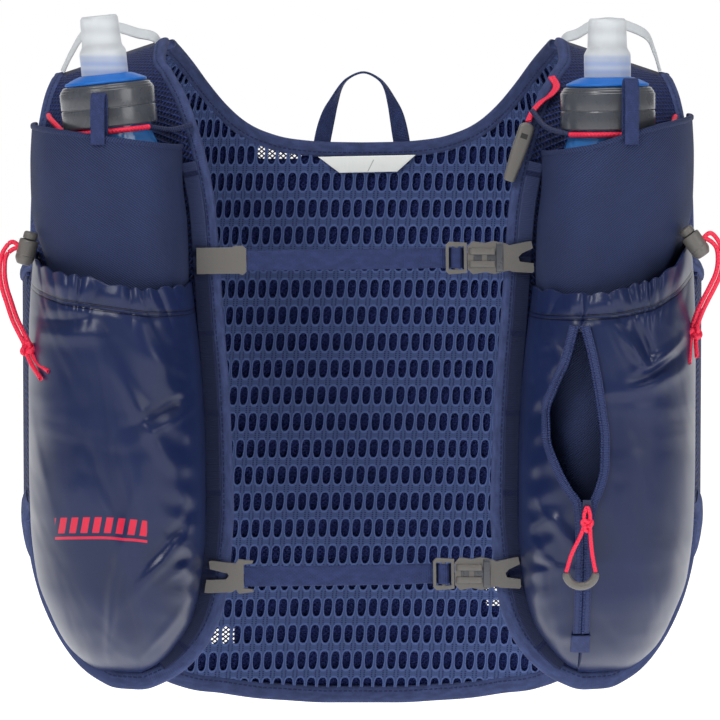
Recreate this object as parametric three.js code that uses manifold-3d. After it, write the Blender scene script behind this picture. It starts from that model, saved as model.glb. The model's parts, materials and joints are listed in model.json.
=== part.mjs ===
import * as THREE from 'three';
import Module from 'manifold-3d';

// Running hydration vest, worn shape. Millimetres, +Z up, the front faces -Y.
// The origin is the middle of the shoulder line that carries the vest.

// Torso that the cloth keeps the shape of
const TORSO_HALF_WIDTH = 165;
const TORSO_HALF_DEPTH = 92;
const TORSO_SQUARENESS = 2.4;
const SHOULDER_ROUND = 60;
const SHOULDER_SLOPE = 0.333;
const RIDGE_LEVEL_SHARE = 0.491;
const PANEL_LENGTH = 306;

// Cloth
const SPACER_THICKNESS = 3;
const SIDE_THICKNESS = 2;
const POCKET_THICKNESS = 1.2;
const BINDING_THICKNESS = 4.6;
const NECK_BINDING_WIDTH = 5.8;
const EDGE_BINDING_WIDTH = 4.2;
const HEM_BINDING_WIDTH = 6.8;
const ARM_BINDING_WIDTH = 4.6;
const GAP = 0.3;

// Pockets
const FLASK_POCKET_TILT = 0.25;
const LOWER_POCKET_TILT = 0.15;
const POCKET_SQUARENESS = 2.6;
const RUFFLE_DEPTH = 1.7;
const RUFFLE_COUNT = 7;
const CHANNEL_DEPTH = 1.4;
const CHANNEL_HEIGHT = 12;

// Webbing
const TAPE_WIDTH = 7.6;
const TAPE_THICKNESS = 1.2;
const WEBBING_WIDTH = 9.6;
const WEBBING_THICKNESS = 1;
const STRAP_LIFT = 6.1;

// Hardware
const PLATE_THICKNESS = 2.4;
const CLIP_LENGTH = 23.5;
const CLIP_HEIGHT = 12.4;
const FRAME_LENGTH = 10;
const FRAME_HEIGHT = 15.4;
const BUCKLE_LENGTH = 20;
const BUCKLE_HEIGHT = 15.6;
const HOOK_LENGTH = 11.4;
const HOOK_HEIGHT = 15;

// Soft flasks
const CAP_RADIUS = 22.3;
const CAP_HEIGHT = 20;
const CAP_WALL = 2.6;
const COLLAR_RADIUS = 19.4;
const COLLAR_HEIGHT = 7;
const VALVE_BASE_RADIUS = 11;
const VALVE_TIP_RADIUS = 9;
const VALVE_HEIGHT = 24.5;
const FLASK_LENGTH = 185;
const FLASK_SIDE_EASE = 3.3;
const FLASK_HALF_THICKNESS = 19;
const FLASK_FRONT_EASE = 9;
const POCKET_FULLNESS = 14;
const FLASK_WALL = 1;
const FLASK_TURN = 0.3;

// Small pieces
const CORD_DIAMETER = 2.2;
const CORD_STEP = 3.5;
const ELASTIC_DIAMETER = 2.6;
const LOCK_RADIUS = 4.6;
const LOCK_LENGTH = 12;
const PLUNGER_RADIUS = 3.4;
const PLUNGER_LENGTH = 3.6;
const KNOT_WIDTH = 8;
const KNOT_HEIGHT = 7;
const WHISTLE_LENGTH = 29;
const WHISTLE_WIDTH = 7.4;
const WHISTLE_THICKNESS = 5;
const RIBBON_WIDTH = 3.4;
const RIBBON_THICKNESS = 0.8;
const LOOP_WIDTH = 7;
const HANG_LOOP_WIDTH = 8.6;
const HANG_LOOP_HEIGHT = 42;
const HANG_LOOP_SPAN = 44;
const BAND_WIDTH = 9;
const BAND_THICKNESS = 1;
const LABEL_WIDTH = 50;
const LABEL_HEIGHT = 8.4;
const ZIP_TAPE_WIDTH = 3.6;
const ZIP_TAPE_THICKNESS = 1;
const SLIDER_LENGTH = 7.4;
const SLIDER_WIDTH = 4.6;
const GRIP_WIDTH = 17.4;
const GRIP_ROD = 3.8;

// Front panel, from the shoulder line down. Columns: drop as a share of the panel's length,
// inner and outer edge as shares of the torso's half width.
const FRONT_PANEL = [
  [0.0, 0.6, 0.885],
  [0.026, 0.6, 0.903],
  [0.0575, 0.568, 0.915],
  [0.11, 0.52, 0.93],
  [0.196, 0.473, 0.942],
  [0.278, 0.446, 0.945],
  [0.34, 0.437, 0.952],
  [0.441, 0.424, 0.976],
  [0.539, 0.41, 0.976],
  [0.637, 0.402, 0.976],
  [0.735, 0.4, 0.972],
  [0.768, 0.404, 0.962],
  [0.817, 0.413, 0.948],
  [0.876, 0.43, 0.915],
  [0.918, 0.458, 0.876],
  [0.954, 0.503, 0.83],
  [0.98, 0.558, 0.782],
  [1.0, 0.63, 0.715],
];
const ARMHOLE_ROW = 6;
const SIDE_SEAM_ROW = 11;

// Back panel, from the middle outwards. Columns: x as a share of the half width, top and
// bottom as shares of the panel's length below the origin, 1 where the top is the ridge.
const BACK_PANEL = [
  [0.0, 0.201, 1.101, 0],
  [0.11, 0.2, 1.101, 0],
  [0.23, 0.194, 1.097, 0],
  [0.32, 0.18, 1.093, 0],
  [0.38, 0.163, 1.088, 0],
  [0.44, 0.135, 1.082, 0],
  [0.5, 0.095, 1.078, 0],
  [0.55, 0.055, 1.07, 0],
  [0.6, 0.0, 1.058, 1],
  [0.69, 0.0, 1.012, 1],
  [0.79, 0.0, 0.955, 1],
  [0.885, 0.0, 0.905, 1],
  [0.918, 0.125, 0.885, 0],
  [0.938, 0.215, 0.872, 0],
  [0.958, 0.305, 0.86, 0],
  [0.974, 0.365, 0.848, 0],
];
const BACK_ROWS = [0, 0.012, 0.045, 0.1, 0.17, 0.3, 0.5, 0.75, 1];

// Side panel, from the front seam to the back seam. Columns: share of the way round, top and
// bottom as shares of the panel's length.
const SIDE_PANEL = [
  [0.0, 0.372, 0.726],
  [0.25, 0.386, 0.743],
  [0.5, 0.392, 0.778],
  [0.75, 0.386, 0.816],
  [1.0, 0.368, 0.846],
];
const SIDE_ROWS = 4;
const SIDE_SEAM_SHARE = 0.976;

// Flask pocket. Columns: drop, inner and outer edge, and how full it is.
const FLASK_POCKET = [
  [0.17, 0.53, 0.962, 0.98],
  [0.22, 0.54, 0.966, 1.0],
  [0.29, 0.52, 0.962, 1.0],
  [0.36, 0.512, 0.92, 1.0],
  [0.43, 0.515, 0.885, 1.0],
  [0.58, 0.52, 0.875, 0.98],
  [0.7, 0.53, 0.865, 0.86],
  [0.77, 0.56, 0.84, 0.5],
  [0.8, 0.6, 0.8, 0.05],
];

// Lower pocket. Same columns.
const LOWER_POCKET = [
  [0.38, 0.496, 0.948, 0.94],
  [0.405, 0.491, 0.948, 0.95],
  [0.43, 0.487, 0.948, 0.96],
  [0.48, 0.479, 0.948, 0.98],
  [0.56, 0.469, 0.948, 1.0],
  [0.66, 0.462, 0.948, 1.02],
  [0.75, 0.462, 0.944, 1.0],
  [0.83, 0.478, 0.925, 0.9],
  [0.89, 0.505, 0.885, 0.7],
  [0.935, 0.557, 0.845, 0.46],
  [0.965, 0.61, 0.795, 0.22],
  [0.98, 0.65, 0.76, 0.04],
];

// Top lines of the pockets. Columns: share of the way from the inner to the outer edge, and
// the height above the table's first row as a share of the panel's length.
const TOP_LINES = {
  left_flask_pocket: [[0, -0.002], [0.3, 0.008], [0.5, 0.014], [0.75, 0.022], [1, 0.028]],
  right_flask_pocket: [[0, -0.012], [0.3, 0.0], [0.5, 0.016], [0.75, 0.032], [1, 0.042]],
  left_lower_pocket: [[0, -0.006], [0.25, -0.004], [0.5, 0.006], [0.75, 0.016], [0.9, 0.028], [1, 0.038]],
  right_lower_pocket: [[0, -0.012], [0.3, -0.01], [0.5, -0.006], [0.7, 0.006], [0.85, 0.03], [1, 0.068]],
};

// Width and height of a lower pocket as shares of the panel's length
const POCKET_SHARES = [0.27, 0.62];

// Folds of the lower pockets. Columns: place across, place down, slant in degrees from level,
// half length, half width and height, lengths as shares of the panel's length.
const LEFT_FOLDS = [
  [0.3, 0.27, 78, 0.11, 0.014, -0.007],
  [0.52, 0.3, 70, 0.1, 0.016, 0.008],
  [0.72, 0.24, 24, 0.09, 0.014, -0.007],
  [0.84, 0.36, 62, 0.13, 0.014, 0.008],
  [0.12, 0.42, 84, 0.12, 0.012, 0.007],
  [0.2, 0.62, 76, 0.16, 0.013, -0.007],
  [0.4, 0.78, 66, 0.15, 0.014, 0.01],
  [0.62, 0.82, 100, 0.12, 0.015, -0.008],
  [0.14, 0.86, 58, 0.07, 0.011, 0.008],
  [0.78, 0.88, 128, 0.09, 0.013, 0.007],
];
const RIGHT_FOLDS = [
  [0.64, 0.2, -48, 0.07, 0.012, 0.012],
  [0.74, 0.25, -38, 0.08, 0.012, -0.011],
  [0.86, 0.24, 10, 0.05, 0.011, 0.01],
  [0.12, 0.3, 84, 0.12, 0.011, 0.008],
  [0.07, 0.55, 96, 0.14, 0.01, -0.007],
  [0.16, 0.78, 70, 0.1, 0.012, 0.009],
  [0.7, 0.6, 92, 0.18, 0.016, 0.006],
  [0.84, 0.66, 84, 0.16, 0.013, -0.007],
  [0.6, 0.86, 112, 0.1, 0.014, 0.007],
  [0.28, 0.9, 50, 0.07, 0.011, -0.007],
];

// Open part of the zip. Columns: drop, left edge and right edge, as shares.
const ZIP_OPENING = [
  [0.44, 0.605, 0.615],
  [0.49, 0.58, 0.638],
  [0.532, 0.547, 0.652],
  [0.572, 0.525, 0.663],
  [0.609, 0.527, 0.671],
  [0.652, 0.553, 0.67],
  [0.685, 0.585, 0.656],
  [0.71, 0.615, 0.637],
];
const ZIP_END = 0.915;
const ZIP_MIDDLE = 0.622;

const TAPE_ROWS = [4, 16];
const SIDES = [['left', -1], ['right', 1]];

// Flasks: middle of the cap and of the body across, level of the cap's foot as a share of the
// panel's length, and the cap's lean outwards.
// Below the neck, columns: drop as a share of the flask's length, then width and thickness.
const FLASK_FORWARD_SHARE = 1.12;
const FLASK_POCKET_MIDDLE = 5;
const FLASK_POCKET_FRONT = TORSO_HALF_DEPTH * FLASK_FORWARD_SHARE + FLASK_HALF_THICKNESS + FLASK_FRONT_EASE;
const LOWER_POCKET_FRONT = FLASK_POCKET_FRONT + POCKET_FULLNESS;
const flaskRoom = FLASK_POCKET[FLASK_POCKET_MIDDLE][2] - FLASK_POCKET[FLASK_POCKET_MIDDLE][1];
const FLASK_HALF_WIDTH = TORSO_HALF_WIDTH * flaskRoom * 0.5 - FLASK_SIDE_EASE;
const FLASKS = {
  left: { x: 0.716, body: 0.696, drop: 0.141, lean: 0.105 },
  right: { x: 0.7, body: 0.696, drop: 0.146, lean: 0.012 },
};
const FLASK_SHAPE = [
  [0.045, 0.79, 1.0],
  [0.09, 0.87, 1.0],
  [0.16, 0.93, 1.0],
  [0.35, 1.0, 1.0],
  [0.65, 0.93, 1.0],
  [0.82, 0.84, 0.9],
  [0.93, 0.66, 0.55],
  [1.0, 0.3, 0.12],
];
const FLASK_LOOPS = { left: { x: 0.742, top: 0.09 }, right: { x: 0.757, top: 0.068 } };
const LOOP_FOOT_SHARE = 0.182;

// Neck cords: outer end, a place between it and the flask, a place past the cap and the inner
// end. Columns: share of the half width, share of the panel's length, and lift off the panel.
const NECK_CORDS = {
  left: {
    outer: [0.918, 0.128, 2],
    between: [0.888, 0.136, 26],
    past: [0.545, 0.146, 17],
    inner: [0.49, 0.14, 3],
  },
  right: {
    outer: [0.918, 0.13, 2],
    between: [0.88, 0.142, 26],
    past: [0.53, 0.144, 20],
    inner: [0.488, 0.118, 5.8],
  },
};

// Cord locks: shares of the half width, the half depth and the panel's length, and the tilt
const LOCK_SLOT = 6.6;
const LOCK_SLOT_START = 0.26;
const LOCKS = {
  left: { x: 0.963, y: 1.0, drop: 0.336, tilt: 0.26 },
  right: { x: 0.953, y: 1.16, drop: 0.323, tilt: 0.62 },
};

// Pull cords from the lock to the knot. Columns: shares of the half width, the half depth and
// the panel's length. The tails end past the knot.
const PULL_CORDS = {
  left: [
    [0.998, 1.0, 0.325], [1.022, 1.01, 0.336], [1.031, 1.03, 0.363], [1.025, 1.05, 0.388],
    [1.01, 1.07, 0.413], [0.992, 1.09, 0.44], [0.973, 1.11, 0.46], [0.959, 1.13, 0.474], [0.949, 1.15, 0.49],
  ],
  right: [
    [0.985, 1.16, 0.309], [1.012, 1.16, 0.322], [1.021, 1.15, 0.345], [1.016, 1.14, 0.366],
    [1.0, 1.14, 0.386], [0.98, 1.14, 0.407], [0.962, 1.14, 0.428], [0.95, 1.14, 0.448], [0.946, 1.14, 0.466],
  ],
};
const CORD_TAILS = {
  left: [[0.91, 1.34, 0.525], [0.885, 1.39, 0.513]],
  right: [[0.955, 1.17, 0.496], [0.93, 1.22, 0.504]],
};

// Sternum straps, along X as shares of the half width and down as shares of the panel's length
const STERNUM_STRAPS = {
  upper: {
    drop: 0.349, rise: 0.004, from: -0.33, to: 0.24, frame: 0.27, overlap: 0.5,
    plate: [
      [-0.5, -0.5], [0.34, -0.5], [0.42, -0.56], [0.5, -0.44], [0.5, 0.44], [0.42, 0.56], [0.28, 0.56],
      [0.2, 0.5], [-0.5, 0.5],
    ],
  },
  lower: {
    drop: 0.84, rise: 0.004, from: -0.339, to: 0.2, frame: 0.235, overlap: 0.3,
    plate: [
      [-0.5, -0.6], [-0.42, -0.62], [0.06, -0.6], [0.14, -0.5], [0.2, -0.66], [0.5, -0.6], [0.48, -0.5],
      [0.3, -0.46], [0.3, 0.46], [0.48, 0.5], [0.5, 0.6], [0.2, 0.66], [0.14, 0.5], [-0.34, 0.62],
      [-0.4, 0.6], [-0.38, 0.3], [-0.02, 0.12], [0, 0.02], [-0.06, -0.1], [-0.46, -0.12],
    ],
  },
};
// Buckle outline: along the body from 0 to 1 and along the hook from 1 to 2, then height
const BUCKLE_OUTLINE = [
  [0, -0.34], [0.12, -0.5], [0.42, -0.44], [0.62, -0.5], [0.9, -0.42], [1, -0.4], [1.1, -0.46],
  [1.94, -0.5], [2, -0.44], [1.98, -0.2], [1.42, -0.14], [1.36, 0], [1.5, 0.12], [1.96, 0.28],
  [1.9, 0.5], [1.82, 0.5], [1.12, 0.4], [1, 0.36], [0.9, 0.42], [0.62, 0.5], [0.42, 0.44],
  [0.12, 0.5], [0, 0.34],
];
const BUCKLE_WINDOWS = [
  [[0.14, -0.18], [0.14, 0.18], [0.34, 0.2], [0.34, -0.2]],
  [[0.46, -0.22], [0.46, 0.22], [0.84, 0.16], [0.84, -0.16]],
];

// Ribbon of the whistle. Columns: shares across and down, and how far it stands off the strap.
const WHISTLE_RIBBON = [
  [0.548, 0.066, 1], [0.562, 0.08, 1.4], [0.545, 0.094, 1.6], [0.515, 0.105, 1.8], [0.492, 0.118, 2],
  [0.476, 0.134, 5],
];
const WHISTLE_LEAN = 0.33;

// Hanging loop. Columns: share of the half span and rise above its foot.
const HANG_LOOP = [
  [-1, 0], [-0.9, 0.36], [-0.68, 0.68], [-0.32, 0.94], [0.04, 1], [0.4, 0.93], [0.72, 0.68],
  [0.9, 0.36], [1, 0],
];

// Shoulder bands. Columns: share across and drop, from the outer end to the inner end.
const SHOULDER_BANDS = {
  left: [
    [0.89, 0.06], [0.861, 0.028], [0.828, 0.001], [0.778, -0.015], [0.724, -0.011], [0.668, -0.002],
    [0.615, 0.006],
  ],
  right: [
    [0.885, 0.059], [0.868, 0.028], [0.846, 0.003], [0.795, -0.012], [0.736, -0.019], [0.683, -0.014],
    [0.636, 0.0], [0.606, 0.006],
  ],
};
const ZIP_PULL = [0.613, 0.812];

const { PI, abs, sin, cos, sqrt, min, max, sign } = Math;
const clamp = (value, low, high) => min(max(value, low), high);
const mix = (a, b, t) => a + (b - a) * t;
const vec = (x, y, z) => new THREE.Vector3(x, y, z);

// Value of one column of a table at a given first column
function column(table, at, index) {
  const last = table.length - 1;
  if (at <= table[0][0]) return table[0][index];
  for (let i = 0; i < last; i++) {
    if (at <= table[i + 1][0]) {
      const share = (at - table[i][0]) / (table[i + 1][0] - table[i][0]);
      return mix(table[i][index], table[i + 1][index], share);
    }
  }
  return table[last][index];
}

// Height of the shoulder line at x
const ridge = (x) => SHOULDER_SLOPE * (RIDGE_LEVEL_SHARE * TORSO_HALF_WIDTH - abs(x));

// How far the body has come down from the shoulder line, 0 on it and 1 past the rounding
const shoulderFall = (x, z) => clamp((ridge(x) - z) / SHOULDER_ROUND, 0, 1);

// Half depth of the torso at x, below the shoulders
function girth(x) {
  const share = 1 - abs(x / TORSO_HALF_WIDTH) ** TORSO_SQUARENESS;
  return TORSO_HALF_DEPTH * max(share, 0) ** (1 / TORSO_SQUARENESS);
}

const bodyDepth = (x, z) => girth(x) * sqrt(1 - (1 - shoulderFall(x, z)) ** 2);

// Level function of the torso, negative inside
function level(x, y, z) {
  const fall = shoulderFall(x, z);
  if (fall < 1) return (y / girth(x)) ** 2 + (1 - fall) ** 2 - 1;
  const across = abs(x / TORSO_HALF_WIDTH) ** TORSO_SQUARENESS;
  return across + abs(y / TORSO_HALF_DEPTH) ** TORSO_SQUARENESS - 1;
}

function bodyNormal(x, y, z) {
  const step = 0.02;
  const slope = vec(
    level(x + step, y, z) - level(x - step, y, z),
    level(x, y + step, z) - level(x, y - step, z),
    level(x, y, z + step) - level(x, y, z - step),
  );
  return slope.normalize();
}

// Point at a given x and z, lifted off the torso on its front (-1) or back (1)
function skin(x, z, face, lift) {
  let footX = x;
  let footZ = z;
  let normal = vec(0, face, 0);
  for (let i = 0; i < 8; i++) {
    normal = bodyNormal(footX, face * bodyDepth(footX, footZ), footZ);
    const limit = TORSO_HALF_WIDTH * 0.9995;
    footX = clamp(x - normal.x * lift, -limit, limit);
    footZ = z - normal.z * lift;
  }
  const point = vec(x, face * bodyDepth(footX, footZ) + normal.y * lift, z);
  return { point, normal };
}

const nodes = new THREE.Group();
nodes.name = 'running_hydration_vest';

// Closed mesh from points and triangles, turned to face outwards
function addNode(name, look, points, faces) {
  let volume = 0;
  for (const [a, b, c] of faces) {
    volume += points[a].dot(points[b].clone().cross(points[c]));
  }
  const geometry = new THREE.BufferGeometry();
  const flat = points.flatMap((p) => [p.x, p.y, p.z]);
  const index = volume > 0 ? faces.flat() : faces.flatMap(([a, b, c]) => [a, c, b]);
  geometry.setAttribute('position', new THREE.Float32BufferAttribute(flat, 3));
  geometry.setIndex(index);
  return addGeometry(name, look, geometry);
}

function addGeometry(name, look, geometry) {
  geometry.computeVertexNormals();
  const material = new THREE.MeshStandardMaterial({
    color: look.color,
    roughness: look.roughness,
    metalness: 0,
  });
  material.name = look.name;
  const mesh = new THREE.Mesh(geometry, material);
  mesh.name = name;
  nodes.add(mesh);
  return mesh;
}

const look = (name, color, roughness) => ({ name, color, roughness });
const SPACER = look('spacer_mesh', 0x3d4d82, 0.85);
const BINDING = look('binding', 0x39436f, 0.8);
const NET = look('strap_net', 0x1c2858, 0.8);
const STRETCH = look('stretch_mesh', 0x24346a, 0.75);
const NYLON = look('ripstop_nylon', 0x22326a, 0.38);
const WEBBING = look('webbing', 0x2c3868, 0.75);
const GREY = look('grey_plastic', 0x6a655f, 0.45);
const RED = look('red_cord', 0xe8284c, 0.6);
const NAVY_CORD = look('navy_cord', 0x1d2850, 0.7);
const CAP = look('smoke_plastic', 0x4a4a4c, 0.3);
const BLUE = look('blue_plastic', 0x1f66d0, 0.3);
const SILICONE = look('clear_silicone', 0xdfe3e6, 0.3);
const FLASK = look('blue_film', 0x2a6fc0, 0.25);
const LABEL = look('white_print', 0xe9ece9, 0.6);
const BAND = look('pale_band', 0xd5d8da, 0.55);

// Two faces of a wall joined round its rim
function wall(name, look, outer, inner) {
  const rows = outer.length;
  const cols = outer[0].length;
  const points = [...outer.flat(), ...inner.flat()];
  const front = (i, j) => i * cols + j;
  const back = (i, j) => rows * cols + i * cols + j;
  const faces = [];
  for (let i = 0; i < rows - 1; i++) {
    for (let j = 0; j < cols - 1; j++) {
      faces.push([front(i, j), front(i + 1, j), front(i + 1, j + 1)]);
      faces.push([front(i, j), front(i + 1, j + 1), front(i, j + 1)]);
      faces.push([back(i, j), back(i + 1, j + 1), back(i + 1, j)]);
      faces.push([back(i, j), back(i, j + 1), back(i + 1, j + 1)]);
    }
  }
  const rim = [];
  for (let j = 0; j < cols - 1; j++) rim.push([0, j, 0, j + 1]);
  for (let i = 0; i < rows - 1; i++) rim.push([i, cols - 1, i + 1, cols - 1]);
  for (let j = cols - 1; j > 0; j--) rim.push([rows - 1, j, rows - 1, j - 1]);
  for (let i = rows - 1; i > 0; i--) rim.push([i, 0, i - 1, 0]);
  for (const [i, j, k, l] of rim) {
    faces.push([front(i, j), front(k, l), back(k, l)]);
    faces.push([front(i, j), back(k, l), back(i, j)]);
  }
  return { name, look, points, faces };
}

const addWall = (...parts) => {
  const solid = wall(...parts);
  return addNode(solid.name, solid.look, solid.points, solid.faces);
};

// Section swept along stations of point, across and normal
function addSweep(name, look, stations, section, closed = false) {
  const points = [];
  const faces = [];
  const sides = section(0).length;
  stations.forEach((station, k) => {
    for (const [a, b] of section(k / (stations.length - 1))) {
      const offset = station.across.clone().multiplyScalar(a).addScaledVector(station.normal, b);
      points.push(station.point.clone().add(offset));
    }
  });
  const count = stations.length;
  const steps = closed ? count : count - 1;
  for (let k = 0; k < steps; k++) {
    const next = (k + 1) % count;
    for (let s = 0; s < sides; s++) {
      const t = (s + 1) % sides;
      faces.push([k * sides + s, k * sides + t, next * sides + t]);
      faces.push([k * sides + s, next * sides + t, next * sides + s]);
    }
  }
  if (!closed) {
    for (let s = 1; s < sides - 1; s++) {
      const end = (count - 1) * sides;
      faces.push([0, s + 1, s]);
      faces.push([end, end + s, end + s + 1]);
    }
  }
  return addNode(name, look, points, faces);
}

const slab = (width, thick) => () => [
  [-width / 2, -thick / 2],
  [width / 2, -thick / 2],
  [width / 2, thick / 2],
  [-width / 2, thick / 2],
];

// Rolled edge section that starts at the cloth's edge and reaches outwards by its width
const roll = (width, thick) => () => [
  [GAP, -thick * 0.4],
  [GAP + width * 0.45, -thick / 2],
  [GAP + width, -thick * 0.2],
  [GAP + width, thick * 0.2],
  [GAP + width * 0.45, thick / 2],
  [GAP, thick * 0.4],
];

// Stations along a path whose width direction is given at each point
function strapStations(path, acrossAt) {
  return path.map((point, k) => {
    const before = path[max(k - 1, 0)];
    const after = path[min(k + 1, path.length - 1)];
    const along = after.clone().sub(before).normalize();
    const across = acrossAt(k / (path.length - 1)).clone();
    across.addScaledVector(along, -across.dot(along)).normalize();
    const normal = along.clone().cross(across).normalize();
    return { point, across, normal };
  });
}

// Smooth path through hand-placed points
function smoothPath(points, steps) {
  return new THREE.CatmullRomCurve3(points, false, 'centripetal').getSpacedPoints(steps);
}

// Solid of revolution about +Z with its own width and depth at each level
function addTurned(name, look, profile, sides, place) {
  return addNode(name, look, ...turnedSolid(profile, sides, place));
}

function turnedSolid(profile, sides, place) {
  const points = [];
  const faces = [];
  const rings = profile.map(([z, wide, deep = wide]) => {
    const start = points.length;
    const count = wide < 1e-6 ? 1 : sides;
    for (let s = 0; s < count; s++) {
      const turn = (2 * PI * s) / sides;
      points.push(place(cos(turn) * wide, sin(turn) * deep, z));
    }
    return { start, count };
  });
  for (let k = 0; k < rings.length - 1; k++) {
    const low = rings[k];
    const high = rings[k + 1];
    for (let s = 0; s < sides; s++) {
      const t = (s + 1) % sides;
      const [a, b] = low.count === 1 ? [low.start, low.start] : [low.start + s, low.start + t];
      const [c, d] = high.count === 1 ? [high.start, high.start] : [high.start + s, high.start + t];
      if (a !== b) faces.push([a, b, c === d ? c : d]);
      if (c !== d) faces.push([a, d, c]);
    }
  }
  return [points, faces];
}

// Flat plate cut from an outline, standing across Y
function addPlate(name, look, outline, holes, thick, centre, turn = 0) {
  const place = (x, y, z) => vec(
    centre.x + x * cos(turn) - z * sin(turn), centre.y + y, centre.z + x * sin(turn) + z * cos(turn),
  );
  const plate = prismSolid(outline, -thick / 2, thick / 2, place);
  if (holes.length === 0) return addNode(name, look, ...plate);
  const cutters = holes.map((hole) => toManifold(...prismSolid(hole, -thick, thick, place)));
  let solid = toManifold(...plate);
  for (const cutter of cutters) solid = solid.subtract(cutter);
  return addManifold(name, look, solid);
}

// Cord of round section along hand-placed points
function addCord(name, look, route, diameter) {
  const curve = new THREE.CatmullRomCurve3(route, false, 'centripetal');
  const steps = 2 * Math.round(curve.getLength() / (diameter * CORD_STEP * 2));
  const ring = [];
  for (let s = 0; s < 8; s++) {
    const turn = (2 * PI * s) / 8;
    ring.push(new THREE.Vector2(cos(turn) * diameter / 2, sin(turn) * diameter / 2));
  }
  const geometry = new THREE.ExtrudeGeometry(new THREE.Shape(ring), {
    steps,
    extrudePath: curve,
    bevelEnabled: false,
  });
  return addGeometry(name, look, geometry);
}

// Drop below the origin of a row of the front, which follows the shoulder line at the top
function rowHeight(x, drop) {
  const follow = clamp(2 - drop / SHOULDER_ROUND, 0, 1);
  return ridge(x) * follow - drop;
}

// Front panels
const seamLean = GAP * 1.8;
function frontPanel(side) {
  const outer = [];
  const inner = [];
  const frontColumns = 6;
  for (const [dropShare, innerShare, outerShare] of FRONT_PANEL) {
    const drop = dropShare * PANEL_LENGTH;
    const power = TORSO_SQUARENESS / 2;
    const from = Math.acos(innerShare ** power);
    const to = Math.acos(outerShare ** power);
    const rowOut = [];
    const rowIn = [];
    for (let j = 0; j < frontColumns; j++) {
      const angle = mix(from, to, j / (frontColumns - 1));
      const x = side * TORSO_HALF_WIDTH * cos(angle) ** (1 / power);
      const z = rowHeight(x, drop);
      const depth = max(bodyDepth(x, z), seamLean);
      const foot = vec(x, -depth, z);
      const normal = drop > 0 ? bodyNormal(x, -depth, z) : vec(0, 0, 1);
      rowIn.push(foot);
      rowOut.push(foot.clone().addScaledVector(normal, SPACER_THICKNESS));
    }
    outer.push(rowOut);
    inner.push(rowIn);
  }
  return { outer, inner };
}

// Back panel
function backPanel() {
  const mirrored = BACK_PANEL.slice(1).reverse().map((row) => [-1, ...row]);
  const columns = [...mirrored, ...BACK_PANEL.map((row) => [1, ...row])];
  const outer = BACK_ROWS.map(() => []);
  const inner = BACK_ROWS.map(() => []);
  for (const [side, xShare, topShare, bottomShare, onRidge] of columns) {
    const x = side * xShare * TORSO_HALF_WIDTH;
    const top = onRidge ? ridge(x) : -topShare * PANEL_LENGTH;
    const bottom = -bottomShare * PANEL_LENGTH;
    BACK_ROWS.forEach((share, i) => {
      const z = mix(top, bottom, share);
      const depth = max(bodyDepth(x, z), seamLean);
      const foot = vec(x, depth, z);
      const normal = onRidge && i === 0 ? vec(0, 0, 1) : bodyNormal(x, depth, z);
      inner[i].push(foot);
      outer[i].push(foot.clone().addScaledVector(normal, SPACER_THICKNESS));
    });
  }
  return { outer, inner };
}

// Side panels run round from the front panel's edge to the back panel's edge
function sidePanel(side) {
  const power = TORSO_SQUARENESS / 2;
  const reach = Math.acos(SIDE_SEAM_SHARE ** power) - 0.016;
  const outer = [];
  const inner = [];
  for (let i = 0; i <= SIDE_ROWS; i++) {
    const rowOut = [];
    const rowIn = [];
    for (const [share, topShare, bottomShare] of SIDE_PANEL) {
      const angle = mix(-reach, reach, share);
      const x = side * TORSO_HALF_WIDTH * cos(angle) ** (1 / power);
      const y = sign(angle) * TORSO_HALF_DEPTH * sin(abs(angle)) ** (1 / power);
      const z = -PANEL_LENGTH * mix(topShare, bottomShare, i / SIDE_ROWS);
      const normal = share === 0.5 ? vec(side, 0, 0) : bodyNormal(x, y, z);
      const foot = vec(x, y, z);
      rowIn.push(foot);
      rowOut.push(foot.clone().addScaledVector(normal, SIDE_THICKNESS));
    }
    outer.push(rowOut);
    inner.push(rowIn);
  }
  return { outer, inner };
}

// Edge of a wall as stations, with across pointing away from the cloth
function edgeStations(panel, cells, away) {
  const middles = cells.map(([i, j]) => ({
    point: panel.outer[i][j].clone().add(panel.inner[i][j]).multiplyScalar(0.5),
    normal: panel.outer[i][j].clone().sub(panel.inner[i][j]).normalize(),
    away: away([i, j]),
  }));
  return middles;
}

function finishStations(marks, closed = false) {
  const kept = [];
  for (const mark of marks) {
    const last = kept[kept.length - 1];
    if (last && last.point.distanceTo(mark.point) < 2.5) {
      last.point.lerp(mark.point, 0.5);
      last.normal.add(mark.normal).normalize();
      last.away.add(mark.away).normalize();
    } else {
      kept.push(mark);
    }
  }
  if (closed && kept[0].point.distanceTo(kept[kept.length - 1].point) < 2.5) {
    const last = kept.pop();
    kept[0].point.lerp(last.point, 0.5);
    kept[0].normal.add(last.normal).normalize();
    kept[0].away.add(last.away).normalize();
  }
  const count = kept.length;
  return kept.map((mark, k) => {
    const before = kept[closed ? (k + count - 1) % count : max(k - 1, 0)];
    const after = kept[closed ? (k + 1) % count : min(k + 1, count - 1)];
    const along = after.point.clone().sub(before.point).normalize();
    const across = along.clone().cross(mark.normal).normalize();
    if (across.dot(mark.away) < 0) across.negate();
    return { point: mark.point, across, normal: mark.normal };
  });
}

const fronts = {};
const sides = {};
for (const [word, side] of SIDES) {
  fronts[word] = frontPanel(side);
  sides[word] = sidePanel(side);
  addWall(`${word}_front_panel`, SPACER, fronts[word].outer, fronts[word].inner);
  addWall(`${word}_side_panel`, NET, sides[word].outer, sides[word].inner);
}
const back = backPanel();
addWall('back_panel', SPACER, back.outer, back.inner);

// Rolled bindings on the panels' edges
const lastColumn = fronts.left.outer[0].length - 1;
const lastRow = FRONT_PANEL.length - 1;
const backMiddle = BACK_PANEL.length - 1;
const ridgeStart = BACK_PANEL.findIndex((row) => row[3] === 1);
const ridgeEnd = ridgeStart + BACK_PANEL.filter((row) => row[3] === 1).length - 1;

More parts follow.
